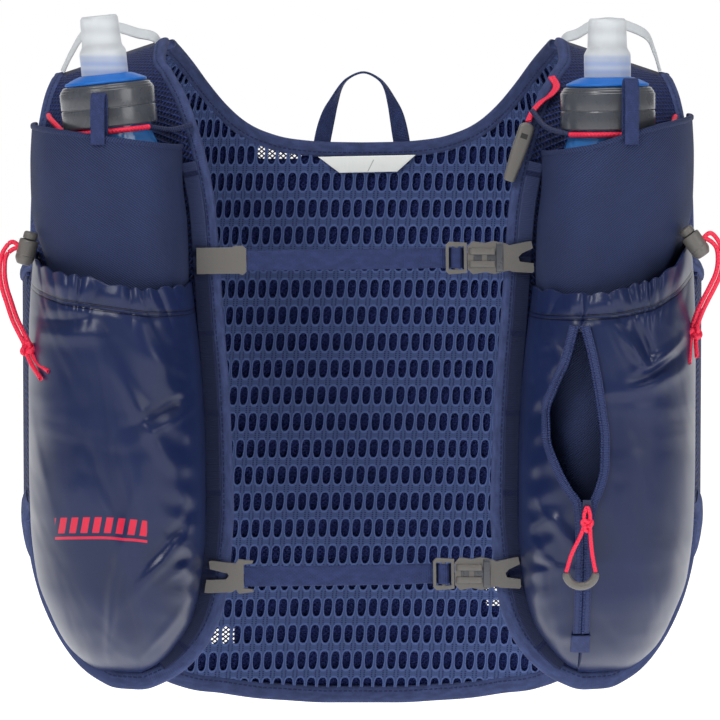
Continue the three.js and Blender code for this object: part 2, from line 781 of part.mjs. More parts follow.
for (const [word, side] of SIDES) {
  const down = FRONT_PANEL.map((row, i) => [i, 0]);
  const bottom = [1, 2, 3, 4].map((j) => [lastRow, j]);
  const up = [];
  for (let i = lastRow; i >= SIDE_SEAM_ROW; i--) up.push([i, lastColumn]);
  const inward = () => vec(-side, 0, 0);
  const downward = () => vec(0, 0, -1);
  const outward = () => vec(side, 0, -0.6);
  addSweep(
    `${word}_edge_binding`,
    BINDING,
    finishStations([
      ...edgeStations(fronts[word], down, inward),
      ...edgeStations(fronts[word], bottom, downward),
      ...edgeStations(fronts[word], up, outward),
    ]),
    (share) => {
      const width = mix(EDGE_BINDING_WIDTH, HEM_BINDING_WIDTH, clamp(share * 4 - 2, 0, 1));
      return roll(width, BINDING_THICKNESS)();
    },
  );

  const armFront = [];
  for (let i = 0; i <= ARMHOLE_ROW; i++) armFront.push([i, lastColumn]);
  const armSide = SIDE_PANEL.map((row, j) => [0, j]);
  const armBack = [];
  for (let j = BACK_PANEL.length - 1; j >= ridgeEnd; j--) armBack.push([0, backMiddle + side * j]);
  addSweep(
    `${word}_armhole_binding`,
    BINDING,
    finishStations([
      ...edgeStations(fronts[word], armFront, () => vec(side, 0.4, 0)),
      ...edgeStations(sides[word], armSide, () => vec(0, 0, 1)),
      ...edgeStations(back, armBack, () => vec(side, -0.4, 0.3)),
    ], true),
    roll(ARM_BINDING_WIDTH, BINDING_THICKNESS),
    true,
  );
}

const neckCells = [];
for (let j = -ridgeStart; j <= ridgeStart; j++) neckCells.push([0, backMiddle + j]);
addSweep(
  'neck_binding',
  BINDING,
  finishStations(edgeStations(back, neckCells, ([, j]) => vec(-sign(j - backMiddle) * 0.7, -0.1, 1))),
  roll(NECK_BINDING_WIDTH, BINDING_THICKNESS),
);

const hemMarks = [];
const lastBackRow = BACK_ROWS.length - 1;
for (let j = 0; j < SIDE_PANEL.length; j++) {
  hemMarks.push(...edgeStations(sides.left, [[SIDE_ROWS, j]], () => vec(0, 0, -1)));
}
for (let j = 0; j < back.outer[0].length; j++) {
  hemMarks.push(...edgeStations(back, [[lastBackRow, j]], () => vec(0, 0, -1)));
}
for (let j = SIDE_PANEL.length - 1; j >= 0; j--) {
  hemMarks.push(...edgeStations(sides.right, [[SIDE_ROWS, j]], () => vec(0, 0, -1)));
}
addSweep('hem_binding', BINDING, finishStations(hemMarks), roll(HEM_BINDING_WIDTH, BINDING_THICKNESS));

// Arch of a pocket: how far it stands off at a share of the way across
function archHeight(share) {
  const flat = abs(1 - 2 * clamp(share, 0, 1)) ** (POCKET_SQUARENESS / 2);
  return max(1 - flat * flat, 0) ** (1 / POCKET_SQUARENESS);
}

// Share of the way across at an even step round the arch
function archShare(step) {
  const swing = cos(PI * step);
  return (1 - sign(swing) * abs(swing) ** (2 / POCKET_SQUARENESS)) / 2;
}

function foldHeight(folds, across, down) {
  let height = 0;
  for (const [atAcross, atDown, slant, halfLength, halfWidth, rise] of folds) {
    const turn = (slant * PI) / 180;
    const x = (across - atAcross) * POCKET_SHARES[0];
    const z = (atDown - down) * POCKET_SHARES[1];
    const along = x * cos(turn) + z * sin(turn);
    const beside = -x * sin(turn) + z * cos(turn);
    height += rise * Math.exp(-((along / halfLength) ** 2) - (beside / halfWidth) ** 2);
  }
  return height * PANEL_LENGTH;
}

// Pocket front as a function of the place across and down
class Pocket {
  constructor(side, table, front, tilt, topLine, folds, ruffled) {
    Object.assign(this, { side, table, front, tilt, topLine, folds, ruffled });
    this.start = table[0][0];
    this.end = table[table.length - 1][0];
  }

  edges(dropShare, inset) {
    const low = column(this.table, dropShare, 1) * TORSO_HALF_WIDTH + inset;
    const high = column(this.table, dropShare, 2) * TORSO_HALF_WIDTH - inset;
    return [low, high];
  }

  // Height of the front at x and a drop share
  standOff(x, dropShare, inset, extra) {
    const [low, high] = this.edges(dropShare, inset);
    const share = clamp((abs(x) - low) / (high - low), 0, 1);
    const foot = skin(x, -dropShare * PANEL_LENGTH, -1, SPACER_THICKNESS + GAP * 1.5);
    const middle = (low + high) / 2;
    const full = column(this.table, dropShare + (0.7 * inset) / PANEL_LENGTH, 3);
    const reach = (this.front - this.tilt * (abs(x) - middle) + foot.point.y) * full;
    return -foot.point.y + (max(reach - inset, GAP) + extra) * archHeight(share);
  }

  relief(across, down) {
    if (!this.ruffled) return 0;
    const seam = CHANNEL_HEIGHT / (PANEL_LENGTH * (this.end - this.start));
    const top = Math.exp(-((down / seam) ** 2) * 1.1);
    const wave = sin(2 * PI * RUFFLE_COUNT * across + 1.3 * sin(5 * across)) * RUFFLE_DEPTH * top;
    const channel = -CHANNEL_DEPTH * Math.exp(-(((down - seam) / (seam * 0.3)) ** 2));
    const fade = clamp(down / seam, 0, 1) * clamp((1 - down) * 6, 0, 1);
    return wave + channel + foldHeight(this.folds, across, down) * fade;
  }

  point(step, down, inset) {
    const topRise = column(this.topLine, archShare(step), 1) * clamp(1 - down * 2.2, 0, 1);
    const dropShare = mix(this.start, this.end, down);
    const [low, high] = this.edges(dropShare, inset);
    const share = archShare(step);
    const x = this.side * mix(low, high, share);
    const depth = this.standOff(x, dropShare, inset, this.relief(share, down));
    const lift = topRise * PANEL_LENGTH;
    return vec(x, -depth, -dropShare * PANEL_LENGTH + lift);
  }

  // Point on the front at a named place, lifted off it
  place(xShare, dropShare, lift) {
    const x = xShare * TORSO_HALF_WIDTH;
    const [low, high] = this.edges(dropShare, 0);
    const share = clamp((x - low) / (high - low), 0, 1);
    const down = (dropShare - this.start) / (this.end - this.start);
    const depth = this.standOff(this.side * x, dropShare, 0, this.relief(share, down));
    return vec(this.side * x, -depth - lift, -dropShare * PANEL_LENGTH);
  }

  // Outward direction of the front at a named place
  slopeAt(xShare, dropShare) {
    const step = 0.004;
    const here = this.place(xShare, dropShare, 0);
    const across = this.place(xShare + step, dropShare, 0).sub(here);
    const down = this.place(xShare, dropShare + step, 0).sub(here);
    const out = across.cross(down).normalize();
    return out.y > 0 ? out.negate() : out;
  }

  grid(rows, columns, inset) {
    return rows.map((down) => {
      const row = [];
      for (let j = 0; j < columns; j++) row.push(this.point(j / (columns - 1), down, inset));
      return row;
    });
  }
}

const pockets = {};
for (const [word, side] of SIDES) {
  const flask = new Pocket(side, FLASK_POCKET, FLASK_POCKET_FRONT, FLASK_POCKET_TILT,
    TOP_LINES[`${word}_flask_pocket`], [], false);
  const lower = new Pocket(side, LOWER_POCKET, LOWER_POCKET_FRONT, LOWER_POCKET_TILT,
    TOP_LINES[`${word}_lower_pocket`], side < 0 ? LEFT_FOLDS : RIGHT_FOLDS, true);
  pockets[word] = { flask, lower };
}

const FLASK_POCKET_STEPS = [0, 0.06, 0.16, 0.3, 0.42, 0.66, 0.84, 0.94, 1];
const LOWER_POCKET_STEPS = [0, 0.035, 0.075, 0.14, 0.24, 0.38, 0.54, 0.7, 0.83, 0.94, 1];
const FLASK_POCKET_COLUMNS = 11;
const LOWER_POCKET_COLUMNS = 21;

for (const [word] of SIDES) {
  const { flask, lower } = pockets[word];
  addWall(
    `${word}_flask_pocket`,
    STRETCH,
    flask.grid(FLASK_POCKET_STEPS, FLASK_POCKET_COLUMNS, 0),
    flask.grid(FLASK_POCKET_STEPS, FLASK_POCKET_COLUMNS, POCKET_THICKNESS),
  );
  if (word === 'left') {
    addWall(
      'left_lower_pocket',
      NYLON,
      lower.grid(LOWER_POCKET_STEPS, LOWER_POCKET_COLUMNS, 0),
      lower.grid(LOWER_POCKET_STEPS, LOWER_POCKET_COLUMNS, POCKET_THICKNESS),
    );
  }
}

// Cut solids
const wasm = await Module();
wasm.setup();
function toManifold(points, faces) {
  let volume = 0;
  for (const [a, b, c] of faces) volume += points[a].dot(points[b].clone().cross(points[c]));
  const triVerts = volume > 0 ? faces.flat() : faces.flatMap(([a, b, c]) => [a, c, b]);
  return new wasm.Manifold(new wasm.Mesh({
    numProp: 3,
    vertProperties: new Float32Array(points.flatMap((p) => [p.x, p.y, p.z])),
    triVerts: new Uint32Array(triVerts),
  }));
}

function addManifold(name, look, solid) {
  const mesh = solid.getMesh();
  const geometry = new THREE.BufferGeometry();
  geometry.setAttribute('position', new THREE.BufferAttribute(Float32Array.from(mesh.vertProperties), 3));
  geometry.setIndex(Array.from(mesh.triVerts));
  return addGeometry(name, look, geometry);
}

function boxSolid([x0, y0, z0], [x1, y1, z1], place) {
  const points = [];
  for (const z of [z0, z1]) {
    points.push(place(x0, y0, z), place(x1, y0, z), place(x1, y1, z), place(x0, y1, z));
  }
  const quads = [[3, 2, 1, 0], [4, 5, 6, 7], [0, 1, 5, 4], [1, 2, 6, 5], [2, 3, 7, 6], [3, 0, 4, 7]];
  return [points, quads.flatMap(([a, b, c, d]) => [[a, b, c], [a, c, d]])];
}

// Outline in X and Z carried along Y
function prismSolid(outline, near, far, place = vec) {
  const flat = outline.map(([x, z]) => new THREE.Vector2(x, z));
  const ring = THREE.ShapeUtils.area(flat) > 0 ? flat : flat.reverse();
  const count = ring.length;
  const points = [near, far].flatMap((y) => ring.map((p) => place(p.x, y, p.y)));
  const faces = [];
  for (const [a, b, c] of THREE.ShapeUtils.triangulateShape(ring, [])) {
    faces.push([a, b, c], [count + a, count + c, count + b]);
  }
  for (let s = 0; s < count; s++) {
    const t = (s + 1) % count;
    faces.push([t, s, count + s], [t, count + s, count + t]);
  }
  return [points, faces];
}

// The right lower pocket is cut open where the zip is undone
{
  const { lower } = pockets.right;
  const { points, faces } = wall(
    'right_lower_pocket',
    NYLON,
    lower.grid(LOWER_POCKET_STEPS, LOWER_POCKET_COLUMNS, 0),
    lower.grid(LOWER_POCKET_STEPS, LOWER_POCKET_COLUMNS, POCKET_THICKNESS),
  );
  const edge = (index) => ZIP_OPENING.map((row) => [row[index] * TORSO_HALF_WIDTH, -row[0] * PANEL_LENGTH]);
  const outline = [...edge(1), ...edge(2).reverse()];
  const cutter = prismSolid(outline, -TORSO_HALF_DEPTH * 1.1, -LOWER_POCKET_FRONT * 1.4);
  addManifold('right_lower_pocket', NYLON, toManifold(points, faces).subtract(toManifold(...cutter)));
}

const at = (xShare, y, dropShare) => vec(xShare * TORSO_HALF_WIDTH, y, -dropShare * PANEL_LENGTH);
const shifted = (point, x, y, z) => point.clone().add(vec(x, y, z));
const sideways = (side) => () => vec(side, 0, 0);

// Daisy-chain tapes beside the inner edges
for (const [word, side] of SIDES) {
  const cells = [];
  for (let i = TAPE_ROWS[0]; i <= TAPE_ROWS[1]; i++) cells.push([i, 0]);
  const inset = GAP * 2 + TAPE_WIDTH / 2;
  const marks = finishStations(edgeStations(fronts[word], cells, sideways(-side)));
  const stations = marks.map(({ point, across }) => {
    const x = point.x - across.x * inset;
    const z = point.z - across.z * inset;
    const foot = skin(x, z, -1, SPACER_THICKNESS + GAP + TAPE_THICKNESS / 2);
    return { point: foot.point, across, normal: foot.normal };
  });
  addSweep(`${word}_edge_tape`, WEBBING, stations, slab(TAPE_WIDTH, TAPE_THICKNESS));
}

// Soft flasks with their caps, collars and bite valves
const flaskPlace = (side, flask) => (a, b, z) => {
  const below = clamp((-z - CAP_WALL * 1.5) / (0.14 * FLASK_LENGTH), 0, 1);
  const turn = side * FLASK_TURN * below;
  const lean = flask.lean * (1 - below);
  const across = a * cos(turn) - b * sin(turn);
  const middle = mix(flask.x, flask.body, below) * TORSO_HALF_WIDTH;
  return vec(
    side * middle + across * cos(lean) - z * sin(lean),
    -FLASK_FORWARD_SHARE * TORSO_HALF_DEPTH + a * sin(turn) + b * cos(turn),
    across * sin(lean) + z * cos(lean) - flask.drop * PANEL_LENGTH,
  );
};
const capPlace = (side, flask) => (a, b, z) => vec(
  flask.x * TORSO_HALF_WIDTH * side + a * cos(flask.lean) - z * sin(flask.lean),
  -FLASK_FORWARD_SHARE * TORSO_HALF_DEPTH + b,
  a * sin(flask.lean) + z * cos(flask.lean) - flask.drop * PANEL_LENGTH,
);
for (const [word, side] of SIDES) {
  const flask = FLASKS[word];
  const place = flaskPlace(side, flask);
  const upright = capPlace(side, flask);
  const neckRadius = CAP_RADIUS - CAP_WALL - GAP * 2;
  const rim = CAP_HEIGHT - CAP_WALL - GAP * 2;
  const shape = FLASK_SHAPE.map(([drop, wide, deep]) => [
    -drop * FLASK_LENGTH, wide * FLASK_HALF_WIDTH, deep * FLASK_HALF_THICKNESS,
  ]);
  const bottom = -FLASK_LENGTH;
  const outside = [[rim, neckRadius], [-CAP_WALL * 1.4, neckRadius], ...shape, [bottom - 1, 0]];
  const shrink = ([z, wide, deep = wide]) => [z, wide - FLASK_WALL, deep - FLASK_WALL];
  const inside = [0, 1, 3, 5, 7, 8].map((k) => shrink(outside[k]));
  addTurned(`${word}_flask`, FLASK, [...outside.reverse(), ...inside, [bottom * 0.97, 0]], 12, place);

  addTurned(`${word}_flask_cap`, CAP, [
    [CAP_HEIGHT, 0],
    [CAP_HEIGHT, CAP_RADIUS - 1.4],
    [CAP_HEIGHT - 1.4, CAP_RADIUS],
    [0, CAP_RADIUS],
    [0, CAP_RADIUS - CAP_WALL],
    [CAP_HEIGHT - CAP_WALL, CAP_RADIUS - CAP_WALL],
    [CAP_HEIGHT - CAP_WALL, 0],
  ], 18, upright);
  const collarFoot = CAP_HEIGHT + GAP;
  addTurned(`${word}_flask_collar`, BLUE, [
    [collarFoot, 0],
    [collarFoot, COLLAR_RADIUS],
    [collarFoot + COLLAR_HEIGHT - 1.5, COLLAR_RADIUS],
    [collarFoot + COLLAR_HEIGHT, COLLAR_RADIUS - 2],
    [collarFoot + COLLAR_HEIGHT, 0],
  ], 18, upright);
  const valveFoot = collarFoot + COLLAR_HEIGHT + GAP;
  addTurned(`${word}_bite_valve`, SILICONE, [
    [valveFoot, 0],
    [valveFoot, VALVE_BASE_RADIUS],
    [valveFoot + 0.16 * VALVE_HEIGHT, VALVE_BASE_RADIUS],
    [valveFoot + 0.36 * VALVE_HEIGHT, VALVE_TIP_RADIUS + 0.3],
    [valveFoot + 0.9 * VALVE_HEIGHT, VALVE_TIP_RADIUS],
    [valveFoot + VALVE_HEIGHT, VALVE_TIP_RADIUS - 1.8],
    [valveFoot + VALVE_HEIGHT, 0],
  ], 12, upright);
}

// Webbing pull loop that stands up from each flask pocket in front of the cap
for (const [word, side] of SIDES) {
  const { x, top } = FLASK_LOOPS[word];
  const pocket = pockets[word].flask;
  const out = pocket.slopeAt(x, LOOP_FOOT_SHARE).setZ(0).normalize();
  const spread = POCKET_THICKNESS + 7 * GAP + TAPE_THICKNESS;
  const foot = pocket.place(x, LOOP_FOOT_SHARE, 0).addScaledVector(out, GAP * 1.5 + TAPE_THICKNESS / 2);
  const rise = (height, inwards) => vec(foot.x, foot.y, height).addScaledVector(out, -inwards);
  const peak = -top * PANEL_LENGTH;
  const path = [foot, rise(peak - spread, 0)];
  for (const angle of [PI / 4, PI / 2, (3 * PI) / 4]) {
    path.push(rise(peak - (1 - sin(angle)) * spread / 2, (1 - cos(angle)) * spread / 2));
  }
  path.push(rise(peak - spread, spread), rise(foot.z + LOOP_WIDTH * 0.8, spread));
  const across = vec(-out.y, out.x, 0);
  const stations = strapStations(path, () => across);
  addSweep(`${word}_flask_loop`, WEBBING, stations, slab(LOOP_WIDTH, TAPE_THICKNESS));
}

// Elastic cord round each flask's neck: red in the middle, navy to the inner edge
for (const [word, side] of SIDES) {
  const upright = capPlace(side, FLASKS[word]);
  const radius = CAP_RADIUS - CAP_WALL + ELASTIC_DIAMETER / 2 + GAP;
  const under = -GAP * 2 - ELASTIC_DIAMETER / 2;
  const round = (degrees, away) => {
    const angle = (degrees * PI) / 180;
    const reach = radius + away;
    return upright(side * cos(angle) * reach, sin(angle) * reach, under);
  };
  const anchor = ([xShare, drop, lift]) => skin(
    side * xShare * TORSO_HALF_WIDTH, -drop * PANEL_LENGTH, -1, SPACER_THICKNESS + lift,
  ).point;
  const { outer, between, past, inner } = NECK_CORDS[word];
  const joint = round(-147, 0.6);
  addCord(`${word}_neck_cord_red`, RED, [
    anchor(outer), anchor(between), ...[6, -26, -58, -90, -118].map((turn) => round(turn, 0)), joint,
  ], ELASTIC_DIAMETER);
  const beyond = anchor(past);
  const clear = beyond.clone().sub(joint).normalize().multiplyScalar(GAP * 2);
  addCord(`${word}_neck_cord_navy`, NAVY_CORD, [
    joint.clone().add(clear), beyond, anchor(inner),
  ], ELASTIC_DIAMETER);
}

// Cord locks with their sprung plungers, and the red pull cords that run through them
for (const [word, side] of SIDES) {
  const { x, y, drop, tilt } = LOCKS[word];
  const centre = at(side * x, -y * TORSO_HALF_DEPTH, drop);
  const axis = vec(side * sin(tilt), 0, -cos(tilt));
  const turned = (a, b, along) => centre.clone()
    .addScaledVector(vec(cos(tilt), 0, side * sin(tilt)), a)
    .addScaledVector(vec(0, 1, 0), b)
    .addScaledVector(axis, along);
  const half = LOCK_LENGTH / 2;
  const barrel = turnedSolid([
    [-half, 0], [-half, LOCK_RADIUS], [half - 1.6, LOCK_RADIUS], [half, LOCK_RADIUS * 0.66], [half, 0],
  ], 12, turned);
  const slotStart = LOCK_LENGTH * (LOCK_SLOT_START - 0.5);
  const wide = CORD_DIAMETER / 2 + GAP;
  const through = LOCK_RADIUS * 2;
  const slot = boxSolid([-through, -wide, slotStart], [through, wide, slotStart + LOCK_SLOT], turned);
  const bore = turnedSolid([
    [-half - 1, 0],
    [-half - 1, PLUNGER_RADIUS + GAP],
    [slotStart + GAP, PLUNGER_RADIUS + GAP],
    [slotStart + GAP, 0],
  ], 12, turned);
  const hollow = toManifold(...barrel).subtract(toManifold(...slot)).subtract(toManifold(...bore));
  addManifold(`${word}_lock_barrel`, GREY, hollow);
  addTurned(`${word}_lock_plunger`, GREY, [
    [-half - GAP - PLUNGER_LENGTH, 0],
    [-half - GAP - PLUNGER_LENGTH, PLUNGER_RADIUS * 0.8],
    [-half - GAP - PLUNGER_LENGTH + 0.8, PLUNGER_RADIUS],
    [-half - GAP, PLUNGER_RADIUS],
    [-half - GAP, 0],
  ], 12, turned);

  const route = PULL_CORDS[word].map(([xs, ys, ds]) => at(side * xs, -ys * TORSO_HALF_DEPTH, ds));
  const strand = (offset) => route.map((point, k) => {
    const before = route[max(k - 1, 0)];
    const after = route[min(k + 1, route.length - 1)];
    const along = after.clone().sub(before).normalize();
    const beside = vec(along.z, 0, -along.x).normalize();
    const width = k === 0 ? (LOCK_SLOT - CORD_DIAMETER) / 2 - GAP : CORD_DIAMETER * 0.62;
    return point.clone().addScaledVector(beside, offset * width);
  });
  const [tailA, tailB] = CORD_TAILS[word].map(([xs, ys, ds]) => at(side * xs, -ys * TORSO_HALF_DEPTH, ds));
  const bend = centre.clone().addScaledVector(axis, slotStart + LOCK_SLOT / 2);
  addCord(`${word}_pull_cord`, RED, [
    tailA, ...strand(-side).reverse(), bend, ...strand(side), tailB,
  ], CORD_DIAMETER);

  const knotAt = route[route.length - 1].clone().lerp(route[route.length - 2], 0.5);
  const lead = route[route.length - 1].clone().sub(route[route.length - 2]).normalize();
  const flat = vec(lead.z, 0, -lead.x).normalize();
  const deep = vec(0, 1, 0);
  const wrap = [];
  const inner = [CORD_DIAMETER * 1.12 + GAP * 3, CORD_DIAMETER / 2 + GAP * 4.5];
  const thick = (KNOT_WIDTH - 2 * inner[0]) / 2;
  for (let s = 0; s < 10; s++) {
    const angle = (2 * PI * s) / 10;
    const out = flat.clone().multiplyScalar(cos(angle)).addScaledVector(deep, sin(angle));
    const point = knotAt.clone()
      .addScaledVector(flat, cos(angle) * (inner[0] + 0.1) * 1.06)
      .addScaledVector(deep, sin(angle) * (inner[1] + 0.1) * 1.06);
    wrap.push({ point, across: out, normal: lead });
  }
  const collar = () => [
    [0, -KNOT_HEIGHT * 0.34],
    [thick * 0.7, -KNOT_HEIGHT / 2],
    [thick, 0],
    [thick * 0.7, KNOT_HEIGHT / 2],
    [0, KNOT_HEIGHT * 0.34],
  ];
  addSweep(`${word}_cord_knot`, RED, wrap, collar, true);
}

// Sternum straps: webbing from the left edge into a ladder frame, and a buckle hooked on the right
const strapForward = (dropShare) => {
  const foot = skin(0.43 * TORSO_HALF_WIDTH, -dropShare * PANEL_LENGTH, -1, STRAP_LIFT);
  return -foot.point.y;
};
for (const [word, strap] of Object.entries(STERNUM_STRAPS)) {
  const y = -strapForward(strap.drop);
  const along = (xShare) => {
    const share = (xShare - strap.from) / (strap.to - strap.from);
    return vec(xShare * TORSO_HALF_WIDTH, y, -(strap.drop - strap.rise * share) * PANEL_LENGTH);
  };
  const tilt = Math.atan2(strap.rise * PANEL_LENGTH, (strap.to - strap.from) * TORSO_HALF_WIDTH);
  const frame = along(strap.frame);
  const bar = FRAME_LENGTH * 0.14;
  const reach = PLATE_THICKNESS / 2 + GAP + WEBBING_THICKNESS / 2;
  const slide = (offset, forward) => frame.clone().add(vec(offset * cos(tilt), forward, offset * sin(tilt)));
  const weave = (FRAME_LENGTH - 3 * bar) / 2;
  const path = [
    along(strap.from),
    along(mix(strap.from, strap.frame, 0.35)),
    along(mix(strap.from, strap.frame, 0.7)),
    slide(-FRAME_LENGTH / 2 - 2, reach * 0.8),
    slide(-FRAME_LENGTH / 2, reach),
    slide(-FRAME_LENGTH / 2 + bar + weave * 0.17, reach),
    slide(-bar / 2 - weave * 0.17, -reach),
    slide(bar / 2 + weave * 0.17, -reach),
    slide(FRAME_LENGTH / 2 - bar - weave * 0.17, reach),
    slide(FRAME_LENGTH / 2 - bar * 0.2, reach),
  ];
  const stations = strapStations(path, () => vec(0, 0, 1));
  addSweep(`${word}_sternum_strap`, WEBBING, stations, slab(WEBBING_WIDTH, WEBBING_THICKNESS));

  const slotHigh = WEBBING_WIDTH / 2 + 0.7;
  const frameOutline = [
    [-FRAME_LENGTH / 2, -FRAME_HEIGHT / 2 + 1.5], [-FRAME_LENGTH / 2 + 1.5, -FRAME_HEIGHT / 2],
    [FRAME_LENGTH / 2, -FRAME_HEIGHT / 2 + 0.6], [FRAME_LENGTH / 2, FRAME_HEIGHT / 2 - 0.6],
    [-FRAME_LENGTH / 2 + 1.5, FRAME_HEIGHT / 2], [-FRAME_LENGTH / 2, FRAME_HEIGHT / 2 - 1.5],
  ];
  const slotAt = (from) => [
    [from, -slotHigh], [from, slotHigh], [from + weave, slotHigh], [from + weave, -slotHigh],
  ];
  addPlate(`${word}_ladder_frame`, GREY, frameOutline,
    [slotAt(-FRAME_LENGTH / 2 + bar), slotAt(bar / 2)], PLATE_THICKNESS, frame, tilt);

  const bodyMiddle = frame.clone().add(vec(
    (FRAME_LENGTH / 2 + GAP + BUCKLE_LENGTH / 2) * cos(tilt), 0,
    (FRAME_LENGTH / 2 + GAP + BUCKLE_LENGTH / 2) * sin(tilt),
  ));
  const outline = BUCKLE_OUTLINE.map(([a, b]) => [
    a <= 1 ? (a - 0.5) * BUCKLE_LENGTH : BUCKLE_LENGTH / 2 + (a - 1) * HOOK_LENGTH,
    a <= 1 ? b * BUCKLE_HEIGHT : b * HOOK_HEIGHT,
  ]);
  const inBody = ([a, b]) => [(a - 0.5) * BUCKLE_LENGTH, b * BUCKLE_HEIGHT];
  const windows = BUCKLE_WINDOWS.map((ring) => ring.map(inBody));
  addPlate(`${word}_buckle`, GREY, outline, windows, PLATE_THICKNESS, bodyMiddle, tilt);

  const plate = strap.plate.map(([a, b]) => [a * CLIP_LENGTH, b * CLIP_HEIGHT]);
  const clipAt = along(strap.from).add(vec(-GAP - strap.overlap * CLIP_LENGTH, 0, 0));
  addPlate(`${word}_strap_clip`, GREY, plate, [], PLATE_THICKNESS, clipAt, tilt);
}

// Whistle on a red ribbon, hung from the right strap
{
  const path = smoothPath(WHISTLE_RIBBON.map(([xs, drop, lift]) => skin(
    xs * TORSO_HALF_WIDTH, -drop * PANEL_LENGTH, -1, SPACER_THICKNESS + GAP + lift,
  ).point), 9);
  const ribbon = strapStations(path, (share) => vec(1, 0.3 - share, 0.25));
  addSweep('whistle_ribbon', RED, ribbon, slab(RIBBON_WIDTH, RIBBON_THICKNESS));
  const top = path[path.length - 1];
  const down = vec(-sin(WHISTLE_LEAN), 0, -cos(WHISTLE_LEAN));
  const start = vec(top.x, top.y - WHISTLE_THICKNESS * 0.3, top.z - GAP - 0.5);
  const stations = [0, 0.08, 0.3, 0.93, 1].map((share) => ({
    point: start.clone().addScaledVector(down, share * WHISTLE_LENGTH),
    across: vec(-down.z, 0, down.x),
    normal: vec(0, -1, 0),
  }));
  const section = (share) => {
    const index = Math.round(share * 4);
    const wide = [0.6, 0.98, 1, 0.76, 0.7][index] * WHISTLE_WIDTH / 2;
    const deep = [0.7, 1, 1, 0.8, 0.7][index] * WHISTLE_THICKNESS / 2;
    return [
      [-wide, -deep * 0.5], [-wide * 0.6, -deep], [wide * 0.6, -deep], [wide, -deep * 0.5],
      [wide, deep * 0.5], [wide * 0.6, deep], [-wide * 0.6, deep], [-wide, deep * 0.5],
    ];
  };
  addSweep('whistle', GREY, stations, section);
}

// Hanging loop and neck label at the middle of the back
{
  const neck = -BACK_PANEL[0][1] * PANEL_LENGTH;
  const y = TORSO_HALF_DEPTH + (SPACER_THICKNESS + BINDING_THICKNESS + TAPE_THICKNESS) / 2 + GAP * 1.5;
  const tall = HANG_LOOP_HEIGHT + HANG_LOOP_WIDTH;
  const path = smoothPath(HANG_LOOP.map(([xs, rise]) => vec(
    xs * HANG_LOOP_SPAN / 2, y + rise * 2, neck - HANG_LOOP_WIDTH + rise * tall,
  )), 16);
  const twist = (share) => {
    const lift = sin(PI * share) ** 3;
    return vec(1 - lift, lift * 1.2, 0);
  };
  addSweep('hang_loop', WEBBING, strapStations(path, twist), slab(HANG_LOOP_WIDTH, TAPE_THICKNESS));

  const half = LABEL_WIDTH / 2;
  const labelAt = vec(LABEL_WIDTH * 0.05, TORSO_HALF_DEPTH - GAP - 1.2, neck - LABEL_HEIGHT / 2 - 0.6);
  addPlate('neck_label', LABEL, [
    [-half * 0.56, -LABEL_HEIGHT / 2], [half * 0.62, -LABEL_HEIGHT / 2],
    [half, LABEL_HEIGHT / 2], [-half, LABEL_HEIGHT / 2],
  ], [], 0.8, labelAt, 0.02);
}

// Pale flat bands arched over the shoulders behind the valves
for (const [word, side] of SIDES) {
  const path = smoothPath(SHOULDER_BANDS[word].map(([xs, drop]) => vec(
    side * xs * TORSO_HALF_WIDTH, -SHOULDER_ROUND * 0.1, -drop * PANEL_LENGTH,
  )), 12);
  const stations = strapStations(path, () => vec(0, 0.85, 0.5));
  addSweep(`${word}_shoulder_band`, BAND, stations, slab(BAND_WIDTH, BAND_THICKNESS));
}

